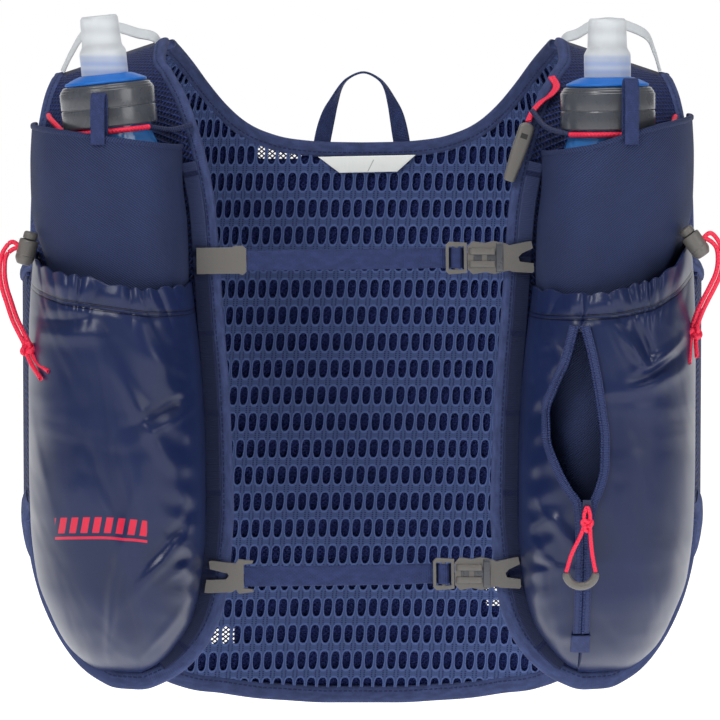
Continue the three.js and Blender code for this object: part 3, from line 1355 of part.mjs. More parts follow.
// Zip of the right lower pocket: two tapes, slider, cord, grip and end patch
{
  const pocket = pockets.right.lower;
  const lift = GAP * 3 + ZIP_TAPE_THICKNESS / 2;
  for (const [word, index, side] of [['left', 1, -1], ['right', 2, 1]]) {
    const beside = (side * ZIP_TAPE_WIDTH * 0.56) / TORSO_HALF_WIDTH;
    const closed = (side * (ZIP_TAPE_WIDTH + GAP) * 0.5) / TORSO_HALF_WIDTH;
    const marks = ZIP_OPENING.map((row) => [row[index] + beside, row[0]]);
    const low = ZIP_OPENING[ZIP_OPENING.length - 1][0];
    for (const share of [0.25, 0.5, 0.75, 1]) {
      marks.push([ZIP_MIDDLE + closed, mix(low, ZIP_END, share)]);
    }
    const path = smoothPath(marks.map(([xs, drop]) => pocket.place(xs, drop, lift)), 18);
    const stations = strapStations(path, () => vec(1, 0, 0)).map((station) => {
      const foot = pocket.slopeAt(station.point.x / TORSO_HALF_WIDTH, -station.point.z / PANEL_LENGTH);
      const across = station.across.clone().addScaledVector(foot, -station.across.dot(foot)).normalize();
      const along = across.clone().cross(foot).normalize();
      return { point: station.point, across, normal: across.clone().cross(along).normalize() };
    });
    addSweep(`zip_tape_${word}`, WEBBING, stations, slab(ZIP_TAPE_WIDTH, ZIP_TAPE_THICKNESS));
  }
  const sliderDrop = ZIP_OPENING[ZIP_OPENING.length - 1][0] + 0.004;
  const sliderAt = pocket.place(ZIP_MIDDLE + 0.008, sliderDrop, lift + ZIP_TAPE_THICKNESS + GAP + 1.1);
  const w = SLIDER_WIDTH / 2;
  const l = SLIDER_LENGTH / 2;
  addPlate('zip_slider', GREY, [
    [-w * 0.7, -l], [w * 0.7, -l], [w, -l * 0.3], [w * 0.8, l], [-w * 0.8, l], [-w, -l * 0.3],
  ], [], 2.2, sliderAt);

  const y = sliderAt.y - 1.1 - GAP - CORD_DIAMETER / 2;
  const gripAt = vec(ZIP_PULL[0] * TORSO_HALF_WIDTH, y, -ZIP_PULL[1] * PANEL_LENGTH);
  const reach = (GRIP_WIDTH - GRIP_ROD) / 2;
  const bow = [];
  for (let s = 0; s <= 8; s++) {
    const angle = PI + (PI * s) / 8;
    bow.push(gripAt.clone().add(vec(cos(angle) * reach, 0, sin(angle) * reach * 0.9)));
  }
  const rod = () => {
    const ring = [];
    for (let s = 0; s < 8; s++) {
      ring.push([cos((PI * s) / 4) * GRIP_ROD / 2, sin((PI * s) / 4) * GRIP_ROD / 2]);
    }
    return ring;
  };
  addSweep('zip_grip', GREY, strapStations(bow, () => vec(0, 1, 0)), rod);
  const top = vec(sliderAt.x, y, sliderAt.z);
  const thin = CORD_DIAMETER * 0.85;
  const legs = [
    shifted(gripAt, -reach, 0, GAP + 0.1),
    shifted(gripAt, -reach * 0.7, 0, reach * 1.1),
    shifted(top, -thin * 0.7, 0, -SLIDER_LENGTH * 0.9),
    shifted(top, -thin * 0.65, 0, -SLIDER_LENGTH * 0.3),
    shifted(top, 0, 0, thin * 0.4),
    shifted(top, thin * 0.65, 0, -SLIDER_LENGTH * 0.3),
    shifted(top, thin * 0.7, 0, -SLIDER_LENGTH * 0.9),
    shifted(gripAt, reach * 0.8, 0, reach * 1.1),
    shifted(gripAt, reach, 0, GAP + 0.1),
  ];
  addCord('zip_cord', RED, legs, thin);

  const patchRows = [ZIP_END + 0.006, ZIP_END + 0.02, ZIP_END + 0.034];
  const patchCols = [-1, 0, 1];
  const patch = (extra) => patchRows.map((drop) => patchCols.map((c) => pocket.place(
    ZIP_MIDDLE + (c * ZIP_TAPE_WIDTH * 1.1) / TORSO_HALF_WIDTH, drop, lift - 0.3 + extra,
  )));
  addWall('zip_end_patch', NYLON, patch(1), patch(0));
}

export default nodes;
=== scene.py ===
"""A running hydration vest in its worn shape: cloth, webbing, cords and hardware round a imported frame."""

import json
import math
import sys

import bpy
import numpy as np
from bpy.props import FloatProperty, FloatVectorProperty, PointerProperty
from mathutils import Vector
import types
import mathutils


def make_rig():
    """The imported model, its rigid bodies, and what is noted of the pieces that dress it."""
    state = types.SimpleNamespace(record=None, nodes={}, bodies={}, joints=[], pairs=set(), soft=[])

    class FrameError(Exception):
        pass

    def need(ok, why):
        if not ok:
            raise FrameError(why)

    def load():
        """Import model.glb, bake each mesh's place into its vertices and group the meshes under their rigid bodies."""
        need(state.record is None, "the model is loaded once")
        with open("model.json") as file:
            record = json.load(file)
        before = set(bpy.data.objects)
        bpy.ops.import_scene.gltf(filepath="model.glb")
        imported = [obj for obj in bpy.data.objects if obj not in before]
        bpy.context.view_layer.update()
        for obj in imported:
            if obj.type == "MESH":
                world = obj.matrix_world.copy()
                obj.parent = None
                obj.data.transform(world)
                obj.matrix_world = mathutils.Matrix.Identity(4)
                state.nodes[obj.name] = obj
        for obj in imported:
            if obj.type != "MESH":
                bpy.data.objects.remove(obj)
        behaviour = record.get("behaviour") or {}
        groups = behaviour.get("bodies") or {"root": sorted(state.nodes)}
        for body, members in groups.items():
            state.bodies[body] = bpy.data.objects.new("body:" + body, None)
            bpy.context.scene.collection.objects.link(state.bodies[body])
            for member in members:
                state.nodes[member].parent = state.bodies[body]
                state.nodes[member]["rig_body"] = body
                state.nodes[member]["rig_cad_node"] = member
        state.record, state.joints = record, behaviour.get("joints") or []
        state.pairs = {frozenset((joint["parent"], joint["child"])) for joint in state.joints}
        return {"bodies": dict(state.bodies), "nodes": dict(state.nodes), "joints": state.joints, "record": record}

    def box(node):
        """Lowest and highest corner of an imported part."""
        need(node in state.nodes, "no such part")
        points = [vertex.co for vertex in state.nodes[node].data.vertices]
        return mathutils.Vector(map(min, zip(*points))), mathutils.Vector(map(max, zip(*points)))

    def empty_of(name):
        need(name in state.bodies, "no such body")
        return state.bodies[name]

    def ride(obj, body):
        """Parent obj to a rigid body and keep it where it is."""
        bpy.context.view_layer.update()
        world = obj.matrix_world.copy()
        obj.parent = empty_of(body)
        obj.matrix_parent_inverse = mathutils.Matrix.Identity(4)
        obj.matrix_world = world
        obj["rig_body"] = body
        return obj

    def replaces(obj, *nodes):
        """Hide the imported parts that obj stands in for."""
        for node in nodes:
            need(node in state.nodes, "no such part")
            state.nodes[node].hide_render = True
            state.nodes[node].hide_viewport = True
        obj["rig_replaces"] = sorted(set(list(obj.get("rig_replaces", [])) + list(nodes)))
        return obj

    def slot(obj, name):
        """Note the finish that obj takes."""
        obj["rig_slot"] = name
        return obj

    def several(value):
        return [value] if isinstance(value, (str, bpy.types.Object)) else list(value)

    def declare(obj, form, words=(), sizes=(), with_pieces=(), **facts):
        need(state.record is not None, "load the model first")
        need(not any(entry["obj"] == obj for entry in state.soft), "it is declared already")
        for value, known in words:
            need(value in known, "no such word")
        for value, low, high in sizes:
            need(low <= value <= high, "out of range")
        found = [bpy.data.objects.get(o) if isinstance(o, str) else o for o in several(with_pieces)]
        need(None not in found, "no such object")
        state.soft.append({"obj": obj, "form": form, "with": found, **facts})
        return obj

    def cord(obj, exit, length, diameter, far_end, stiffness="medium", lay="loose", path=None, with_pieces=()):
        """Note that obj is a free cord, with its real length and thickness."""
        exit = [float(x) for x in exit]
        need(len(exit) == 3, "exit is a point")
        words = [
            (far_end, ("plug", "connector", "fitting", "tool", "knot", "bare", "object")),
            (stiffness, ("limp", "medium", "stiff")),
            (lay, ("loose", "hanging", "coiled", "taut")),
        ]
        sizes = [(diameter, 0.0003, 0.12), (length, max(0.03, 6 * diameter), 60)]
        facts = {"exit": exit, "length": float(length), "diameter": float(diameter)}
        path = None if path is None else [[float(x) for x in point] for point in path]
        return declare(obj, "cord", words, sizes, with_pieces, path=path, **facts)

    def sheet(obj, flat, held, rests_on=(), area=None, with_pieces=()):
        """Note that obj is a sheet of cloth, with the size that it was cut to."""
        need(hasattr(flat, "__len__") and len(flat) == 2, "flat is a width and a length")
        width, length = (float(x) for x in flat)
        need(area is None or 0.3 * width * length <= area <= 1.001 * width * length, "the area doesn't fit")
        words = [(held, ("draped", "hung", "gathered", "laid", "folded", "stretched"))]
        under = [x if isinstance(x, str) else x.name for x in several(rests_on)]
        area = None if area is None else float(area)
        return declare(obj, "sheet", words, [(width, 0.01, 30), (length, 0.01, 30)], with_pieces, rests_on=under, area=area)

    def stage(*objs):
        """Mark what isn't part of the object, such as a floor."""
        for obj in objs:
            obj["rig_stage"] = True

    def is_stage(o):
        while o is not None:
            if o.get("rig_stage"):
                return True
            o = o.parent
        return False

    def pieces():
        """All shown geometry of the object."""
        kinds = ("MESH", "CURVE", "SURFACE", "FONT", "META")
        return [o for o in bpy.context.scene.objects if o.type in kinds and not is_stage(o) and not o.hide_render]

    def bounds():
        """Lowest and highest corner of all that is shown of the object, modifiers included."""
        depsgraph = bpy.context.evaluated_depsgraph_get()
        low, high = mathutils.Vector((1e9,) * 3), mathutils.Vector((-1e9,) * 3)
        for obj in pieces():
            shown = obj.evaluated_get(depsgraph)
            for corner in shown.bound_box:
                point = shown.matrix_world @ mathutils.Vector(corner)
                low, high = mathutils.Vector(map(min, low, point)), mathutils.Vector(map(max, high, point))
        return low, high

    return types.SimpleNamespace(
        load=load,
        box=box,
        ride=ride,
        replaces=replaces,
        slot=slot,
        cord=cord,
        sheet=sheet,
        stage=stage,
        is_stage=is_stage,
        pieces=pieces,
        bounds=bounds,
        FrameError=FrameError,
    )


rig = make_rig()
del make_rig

bl_info = {
    "name": "Running hydration vest",
    "version": (1, 0, 0),
    "blender": (4, 2, 0),
    "location": "View3D > Sidebar > Vest",
    "description": "Builds the cloth, webbing, cords, hardware, light and camera of a running vest",
    "category": "Object",
}

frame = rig.load()
CAD_BOX = [list(corner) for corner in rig.bounds()]
MM = 0.001
SIDES = (("left", -1), ("right", 1))

# Torso and panels, in millimetres, as the solids have them
HALF_WIDTH = 165.0
HALF_DEPTH = 92.0
SQUARENESS = 2.4
SHOULDER_ROUND = 60.0
SHOULDER_SLOPE = 0.333
RIDGE_LEVEL = 0.491
LENGTH = 306.0
SPACER = 3.0
SIDE_CLOTH = 2.0
POCKET_CLOTH = 1.2
GAP = 0.3
SEAM_LEAN = 0.54

# Columns: drop, inner edge, outer edge
FRONT_PANEL = np.array([
    (0.0, 0.6, 0.885), (0.026, 0.6, 0.903), (0.0575, 0.568, 0.915), (0.11, 0.52, 0.93),
    (0.196, 0.473, 0.942), (0.278, 0.446, 0.945), (0.34, 0.437, 0.952), (0.441, 0.424, 0.976),
    (0.539, 0.41, 0.976),
    (0.637, 0.402, 0.976), (0.735, 0.4, 0.972), (0.768, 0.404, 0.962), (0.817, 0.413, 0.948),
    (0.876, 0.43, 0.915), (0.918, 0.458, 0.876), (0.954, 0.503, 0.83), (0.98, 0.558, 0.782),
    (1.0, 0.63, 0.715),
])
# Columns: share of the half width, top and bottom drop, 1 where the top is the shoulder line
BACK_PANEL = np.array([
    (0.0, 0.201, 1.101, 0), (0.11, 0.2, 1.101, 0), (0.23, 0.194, 1.097, 0), (0.32, 0.18, 1.093, 0),
    (0.38, 0.163, 1.088, 0), (0.44, 0.135, 1.082, 0), (0.5, 0.095, 1.078, 0), (0.55, 0.055, 1.07, 0),
    (0.6, 0.0, 1.058, 1), (0.69, 0.0, 1.012, 1), (0.79, 0.0, 0.955, 1), (0.885, 0.0, 0.905, 1),
    (0.918, 0.125, 0.885, 0), (0.938, 0.215, 0.872, 0), (0.958, 0.305, 0.86, 0), (0.974, 0.365, 0.848, 0),
])
# Columns: share of the way round, top and bottom drop
SIDE_PANEL = np.array([
    (0.0, 0.372, 0.726), (0.25, 0.386, 0.743), (0.5, 0.392, 0.778), (0.75, 0.386, 0.816),
    (1.0, 0.368, 0.846),
])
# Ends of the side's way round, as shares of the half width, and the slit left there, in radians
SIDE_SEAM = 0.976
BACK_EDGE = 0.974
SEAM_SLIT = 0.003
BACK_EVENNESS = 0.985
# Columns: drop, inner edge, outer edge, fullness
FLASK_POCKET = np.array([
    (0.17, 0.516, 0.962, 0.98), (0.22, 0.515, 0.966, 1.0), (0.29, 0.502, 0.962, 1.0),
    (0.36, 0.498, 0.92, 1.0),
    (0.43, 0.502, 0.885, 1.0), (0.58, 0.505, 0.875, 0.98), (0.7, 0.52, 0.865, 0.86), (0.77, 0.56, 0.84, 0.5),
    (0.8, 0.6, 0.8, 0.05),
])
LOWER_POCKET = np.array([
    (0.38, 0.49, 0.955, 0.94), (0.405, 0.484, 0.96, 0.95), (0.43, 0.478, 0.965, 0.96),
    (0.48, 0.468, 0.97, 0.98), (0.56, 0.456, 0.972, 1.0), (0.66, 0.45, 0.972, 1.02),
    (0.76, 0.45, 0.968, 1.0), (0.845, 0.464, 0.95, 0.9), (0.905, 0.49, 0.91, 0.7),
    (0.95, 0.54, 0.868, 0.46), (0.98, 0.592, 0.815, 0.22), (0.995, 0.64, 0.77, 0.04),
])
TOP_LINES = {
    "left_flask": ((0, -0.002), (0.3, 0.008), (0.5, 0.014), (0.75, 0.022), (1, 0.028)),
    "right_flask": ((0, -0.012), (0.3, 0.0), (0.5, 0.016), (0.75, 0.032), (1, 0.042)),
    "left_lower": ((0, -0.006), (0.25, -0.004), (0.5, 0.006), (0.75, 0.016), (0.9, 0.028), (1, 0.038)),
    "right_lower": ((0, -0.012), (0.3, -0.01), (0.5, -0.006), (0.7, 0.006), (0.85, 0.03), (1, 0.068)),
}
POCKET_SHARES = (0.27, 0.62)
ARCH_POWER = 2.6
CHANNEL_DROP = 12.0
# Folds. Columns: across, down, slant in degrees, half length, half width, height
FOLDS = {
    "left": (
        (0.19, 0.19, 56, 0.06, 0.034, 0.016), (0.145, 0.29, 151, 0.05, 0.009, -0.012),
        (0.09, 0.318, 151, 0.045, 0.008, 0.011), (0.26, 0.36, 63, 0.13, 0.014, 0.008),
        (0.95, 0.36, 74, 0.1, 0.008, 0.007), (0.78, 0.11, 167, 0.05, 0.008, -0.009),
        (0.755, 0.14, 172, 0.06, 0.012, 0.006), (0.506, 0.79, -78, 0.13, 0.01, 0.011),
        (0.2, 0.68, -47, 0.08, 0.011, 0.011), (0.06, 0.69, -35, 0.045, 0.008, 0.01),
        (0.13, 0.6, -50, 0.05, 0.009, -0.009), (0.95, 0.56, 71, 0.06, 0.008, 0.007),
        (0.14, 0.86, -58, 0.06, 0.01, 0.008), (0.66, 0.52, 86, 0.2, 0.02, 0.003),
    ),
    "right": (
        (0.6, 0.16, -55, 0.036, 0.009, 0.013), (0.653, 0.158, 110, 0.036, 0.008, -0.011),
        (0.765, 0.19, 15, 0.036, 0.009, 0.013), (0.735, 0.217, 20, 0.042, 0.009, -0.009),
        (0.735, 0.245, 5, 0.09, 0.012, 0.009), (0.12, 0.14, 130, 0.05, 0.01, 0.009),
        (0.05, 0.28, 65, 0.06, 0.01, 0.009), (0.05, 0.67, -20, 0.05, 0.007, 0.009),
        (0.07, 0.7, 12, 0.05, 0.007, -0.008), (0.06, 0.64, -50, 0.05, 0.007, 0.008),
        (0.18, 0.59, -50, 0.06, 0.01, 0.009), (0.18, 0.885, 10, 0.03, 0.013, 0.012),
        (0.53, 0.89, -50, 0.05, 0.013, -0.007), (0.94, 0.31, 86, 0.12, 0.014, 0.007),
        (0.86, 0.7, 82, 0.16, 0.016, 0.004),
    ),
}
# Columns: drop, left edge, right edge
ZIP_OPENING = np.array([
    (0.44, 0.605, 0.615), (0.49, 0.58, 0.638), (0.532, 0.547, 0.652), (0.572, 0.525, 0.663),
    (0.609, 0.527, 0.671), (0.652, 0.553, 0.67), (0.685, 0.585, 0.656), (0.71, 0.615, 0.637),
])
ZIP_END = 0.915
ZIP_MIDDLE = 0.622
ZIP_ABOVE, ZIP_BELOW = 0.61, 0.626
ZIP_EASE = 0.03
ZIP_TAPE = 3.6


def hermite(values, slopes, i, h, t):
    """Cubic from value i to value i + 1 with the slopes at both, at the share t of the step h."""
    return (
        values[i] * (2 * t**3 - 3 * t**2 + 1) + slopes[i] * h * (t**3 - 2 * t**2 + t)
        + values[i + 1] * (3 * t**2 - 2 * t**3) + slopes[i + 1] * h * (t**3 - t**2)
    )


def cubic(xs, ys, at):
    """Smooth curve through table values: cubics whose slopes are harmonic means of the chords beside."""
    xs, ys, at = np.asarray(xs, float), np.asarray(ys, float), np.asarray(at, float)
    chord = np.diff(ys) / np.diff(xs)
    slope = np.empty_like(ys)
    before, after = chord[:-1], chord[1:]
    slope[1:-1] = np.where(before * after > 0, 2 * before * after / (before + after + 1e-12), 0)
    slope[0], slope[-1] = chord[0], chord[-1]
    at = np.clip(at, xs[0], xs[-1])
    i = np.clip(np.searchsorted(xs, at, side="right") - 1, 0, len(xs) - 2)
    h = xs[i + 1] - xs[i]
    return hermite(ys, slope, i, h, (at - xs[i]) / h)


def running(line, axis=0):
    """Running lengths along a polyline, or along one axis of a grid, from 0."""
    steps = np.linalg.norm(np.diff(line, axis=axis), axis=-1)
    return np.insert(np.cumsum(steps, axis), 0, 0, axis)


def ridge(x):
    """Height of the shoulder line at x."""
    return SHOULDER_SLOPE * (RIDGE_LEVEL * HALF_WIDTH - np.abs(x))


def girth(x):
    """Half depth of the torso at x: a superellipse of half width and half depth."""
    share = 1 - np.abs(x / HALF_WIDTH) ** SQUARENESS
    return HALF_DEPTH * np.maximum(share, 0) ** (1 / SQUARENESS)


def shoulder_fall(x, z):
    """0 at the shoulder line and 1 where the rounding below it ends."""
    return np.clip((ridge(x) - z) / SHOULDER_ROUND, 0, 1)


def body_depth(x, z):
    """Half depth below the shoulders, rounded over by a quarter ellipse near the shoulder line."""
    return girth(x) * np.sqrt(np.maximum(1 - (1 - shoulder_fall(x, z)) ** 2, 0))


def level(x, y, z):
    """Level function of the torso, negative inside."""
    fall = shoulder_fall(x, z)
    top = (y / np.maximum(girth(x), 1e-6)) ** 2 + (1 - fall) ** 2 - 1
    below = np.abs(x / HALF_WIDTH) ** SQUARENESS + np.abs(y / HALF_DEPTH) ** SQUARENESS - 1
    return np.where(fall < 1, top, below)


def body_normal(x, y, z):
    """Direction in which the level function grows, from differences over a small step."""
    step = 0.02
    slope = np.stack([
        level(x + step, y, z) - level(x - step, y, z),
        level(x, y + step, z) - level(x, y - step, z),
        level(x, y, z + step) - level(x, y, z - step),
    ], -1)
    return unit(slope)


def unit(v):
    return v / np.maximum(np.linalg.norm(v, axis=-1, keepdims=True), 1e-9)


def skin(x, z, face, lift):
    """Point at x and z lifted off the torso along its normal, found by eight corrections of the foot."""
    x, z, lift = np.broadcast_arrays(np.asarray(x, float), np.asarray(z, float), np.asarray(lift, float))
    foot_x, foot_z = x, z
    limit = HALF_WIDTH * 0.9995
    for _ in range(8):
        n = body_normal(foot_x, face * body_depth(foot_x, foot_z), foot_z)
        foot_x = np.clip(x - n[..., 0] * lift, -limit, limit)
        foot_z = z - n[..., 2] * lift
    y = face * body_depth(foot_x, foot_z) + n[..., 1] * lift
    return np.stack([x, y, z], -1)


def polar_x(share_from, share_to, steps):
    """Shares of the half width at even steps of the superellipse angle."""
    power = SQUARENESS / 2
    low, high = np.arccos(share_from**power), np.arccos(share_to**power)
    angle = low[:, None] + (high - low)[:, None] * steps[None, :]
    return np.cos(angle) ** (1 / power)


def row_height(x, drop):
    """Height of a row: it follows the shoulder line near the top and is level from two roundings down."""
    follow = np.clip(2 - drop / SHOULDER_ROUND, 0, 1)
    return ridge(x) * follow - drop


def front_drops(rows):
    """Drops of a front panel's rows, closer together at the lower end."""
    return np.concatenate([np.linspace(0, 0.9, rows - 20, endpoint=False), np.linspace(0.9, 1, 20)])


def front_grid(side, rows, cols, lift):
    """Front panel as rows by columns, lifted along the torso's normal."""
    drops = front_drops(rows)
    inner = cubic(FRONT_PANEL[:, 0], FRONT_PANEL[:, 1], drops)
    outer = cubic(FRONT_PANEL[:, 0], FRONT_PANEL[:, 2], drops)
    x = side * HALF_WIDTH * polar_x(inner, outer, np.linspace(0, 1, cols))
    drop = drops[:, None] * LENGTH + 0 * x
    z = row_height(x, drop)
    return lifted(x, z, -1, lift)


def lifted(x, z, face, lift):
    """Points straight along the normal from their feet on the torso."""
    deep = np.maximum(body_depth(x, z), SEAM_LEAN)
    foot = np.stack([x, face * deep, z], -1)
    n = body_normal(x, face * deep, z)
    top = shoulder_fall(x, z) <= 1e-6
    n = np.where(top[..., None], np.array([0.0, 0.0, 1.0]), n)
    return foot + n * np.asarray(lift)[..., None] if np.ndim(lift) else foot + n * lift


def back_grid(rows, cols, lift):
    """Back panel as rows by columns, between its top line and its hem."""
    xs = BACK_PANEL[:, 0]
    share = np.abs(np.linspace(-1, 1, cols))
    share = BACK_EDGE * np.sin(share * math.pi / 2 * BACK_EVENNESS) / math.sin(math.pi / 2 * BACK_EVENNESS)
    x = HALF_WIDTH * share * np.sign(np.linspace(-1, 1, cols))
    line = np.where(BACK_PANEL[:, 3] > 0, ridge(xs * HALF_WIDTH), -BACK_PANEL[:, 1] * LENGTH)
    neck = cubic(xs[:9], line[:9], np.minimum(share, 0.6))
    arm = cubic(xs[11:], line[11:], np.maximum(share, 0.885))
    top_z = np.where(share < 0.6, neck, np.where(share < 0.885, ridge(x), arm))
    bottom_z = -cubic(xs, BACK_PANEL[:, 2], share) * LENGTH
    t = np.linspace(0, 1, rows) ** 1.35
    z = top_z[None, :] * (1 - t[:, None]) + bottom_z[None, :] * t[:, None]
    return lifted(x[None, :] + 0 * z, z, 1, lift)


def side_grid(side, rows, cols, lift):
    """Side panel, from the front seam round to the back seam."""
    power = SQUARENESS / 2
    share = np.linspace(0, 1, cols)
    first, last = SEAM_SLIT - math.acos(SIDE_SEAM**power), math.acos(BACK_EDGE**power) - SEAM_SLIT
    angle = np.interp(share, (0, 1), (first, last))
    x = side * HALF_WIDTH * np.cos(angle) ** (1 / power)
    y = np.sign(angle) * HALF_DEPTH * np.sin(np.abs(angle)) ** (1 / power)
    top = -cubic(SIDE_PANEL[:, 0], SIDE_PANEL[:, 1], share) * LENGTH
    bottom = -cubic(SIDE_PANEL[:, 0], SIDE_PANEL[:, 2], share) * LENGTH
    t = np.linspace(0, 1, rows)[:, None]
    z = top * (1 - t) + bottom * t
    x, y = x + 0 * z, y + 0 * z
    n = body_normal(x, y, z)
    n = np.where((np.abs(y) < 2)[..., None], np.array([side, 0.0, 0.0]), n)
    return np.stack([x, y, z], -1) + n * lift


def put(name, points, faces, flat=None, smooth=True, fans=None):
    """Mesh object in metres from arrays of quads and triangles, with its flat coordinates as an attribute."""
    mesh = bpy.data.meshes.new(name)
    points = np.ascontiguousarray(points.reshape(-1, 3) * MM, dtype=np.float32)
    faces = np.asarray(faces, dtype=np.int32)
    fans = np.zeros((0, 3), np.int32) if fans is None else np.asarray(fans, dtype=np.int32)
    mesh.vertices.add(len(points))
    mesh.vertices.foreach_set("co", points.ravel())
    corners = np.concatenate([faces.ravel(), fans.ravel()])
    starts = np.concatenate([np.arange(len(faces)) * 4, faces.size + np.arange(len(fans)) * 3])
    mesh.loops.add(len(corners))
    mesh.loops.foreach_set("vertex_index", corners)
    mesh.polygons.add(len(starts))
    mesh.polygons.foreach_set("loop_start", starts.astype(np.int32))
    mesh.polygons.foreach_set("use_smooth", np.full(len(starts), smooth))
    mesh.update(calc_edges=True)
    if flat is not None:
        attribute = mesh.attributes.new("flat", "FLOAT_VECTOR", "POINT")
        attribute.data.foreach_set("vector", np.ascontiguousarray(flat, dtype=np.float32).ravel())
    obj = bpy.data.objects.new(name, mesh)
    bpy.context.scene.collection.objects.link(obj)
    return obj


def quads(rows, cols, start=0, wrap_rows=False, wrap_cols=False):
    """Quad indices of a grid, whole array."""
    i = np.arange(rows if wrap_rows else rows - 1)
    j = np.arange(cols if wrap_cols else cols - 1)
    i, j = np.meshgrid(i, j, indexing="ij")
    i2, j2 = (i + 1) % rows, (j + 1) % cols
    return start + np.stack([i * cols + j, i2 * cols + j, i2 * cols + j2, i * cols + j2], -1).reshape(-1, 4)


def outward(points, faces, fans=None):
    """Quads and triangles turned so that the solid's volume is positive."""
    p = points.reshape(-1, 3)
    both = [faces[:, (0, 1, 2)], faces[:, (0, 2, 3)]] + ([] if fans is None else [fans])
    a, b, c = (p[np.concatenate(both)][:, k] for k in range(3))
    if np.einsum("ij,ij->i", a, np.cross(b, c)).sum() > 0:
        return faces, fans
    return faces[:, ::-1], None if fans is None else fans[:, ::-1]


def arc(grid):
    """Running lengths across and down a grid, in millimetres."""
    return running(grid, 1), running(grid, 0)


def wall(name, outer, inner, flat=None, gap=None):
    """Closed wall between an outer and an inner grid, joined round its rim.

    gap is a first row, a last row and a column: the strip right of that column is left open between them."""
    rows, cols = outer.shape[:2]
    points = np.concatenate([outer.reshape(-1, 3), inner.reshape(-1, 3)])
    count = rows * cols
    front = quads(rows, cols)
    index = np.arange(count).reshape(rows, cols)
    loop = np.concatenate([index[0, :-1], index[:-1, -1], index[-1, :0:-1], index[:0:-1, 0]])
    rims = [np.stack([loop, np.roll(loop, -1)], -1)]
    if gap is not None:
        low, high, column = gap
        i, j = front[:, 0] // cols, front[:, 0] % cols
        front = front[~((j == column) & (i >= low) & (i < high))]
        hole = np.concatenate([index[low : high + 1, column], index[high : low - 1 : -1, column + 1]])
        rims.append(np.stack([hole, np.roll(hole, -1)], -1))
    rim = np.concatenate(rims)
    faces = np.concatenate([front, front[:, ::-1] + count, np.concatenate([rim, rim[:, ::-1] + count], 1)])
    faces, _ = outward(points, faces)
    if flat is None:
        across, down = arc(outer)
        flat = np.stack([across - across[:, cols // 2 : cols // 2 + 1], down, 0 * down], -1)
    both = np.concatenate([flat.reshape(-1, 3), flat.reshape(-1, 3) + np.array([0, 0, 1])])
    return put(name, points, faces, both)


def resample(path, count):
    """Even steps along a polyline."""
    path = np.asarray(path, float)
    run = running(path)
    at = np.linspace(0, run[-1], count)
    return np.stack([np.interp(at, run, path[:, k]) for k in range(3)], -1)


def spline(points, count):
    """Smooth path through given points, by cubics over the chord lengths."""
    points = np.asarray(points, float)
    run = running(points)
    tangent = np.gradient(points, run, axis=0)
    at = np.linspace(0, run[-1], count * 4)
    i = np.clip(np.searchsorted(run, at, side="right") - 1, 0, len(run) - 2)
    h = (run[i + 1] - run[i])[:, None]
    return resample(hermite(points, tangent, i, h, (at - run[i])[:, None] / h), count)


def sweep(name, path, across, section, closed=False):
    """Section carried along a path: point + a * across + b * normal, with end caps unless closed.

    section is an array of a and b, either one ring for all stations or a ring for each."""
    path = np.asarray(path, float)
    count = len(path)
    if closed:
        along = unit(np.roll(path, -1, 0) - np.roll(path, 1, 0))
    else:
        along = unit(np.gradient(path, axis=0))
    across = np.broadcast_to(np.asarray(across, float), path.shape)
    across = unit(across - along * np.sum(across * along, -1, keepdims=True))
    normal = unit(np.cross(along, across))
    section = np.asarray(section, float)
    if section.ndim == 2:
        section = np.broadcast_to(section, (count, *section.shape))
    ring = path[:, None] + across[:, None] * section[..., :1] + normal[:, None] * section[..., 1:]
    sides = ring.shape[1]
    faces = quads(count, sides, 0, closed, True)
    points = ring.reshape(-1, 3)
    run = running(path)
    flat = np.stack([section[..., 0], run[:, None] + 0 * section[..., 0], section[..., 1]], -1).reshape(-1, 3)
    fans = None
    if not closed:
        points = np.concatenate([points, ring[:1].mean(1), ring[-1:].mean(1)])
        flat = np.concatenate([flat, [[0, 0, 0], [0, run[-1], 0]]])
        first = np.arange(sides)
        after = (first + 1) % sides
        low, last = count * sides + 0 * first, (count - 1) * sides
        start, end = np.stack([low, after, first], -1), np.stack([low + 1, last + first, last + after], -1)
        fans = np.concatenate([start, end])
    faces, fans = outward(points, faces, fans)
    return put(name, points, faces, flat, True, fans)


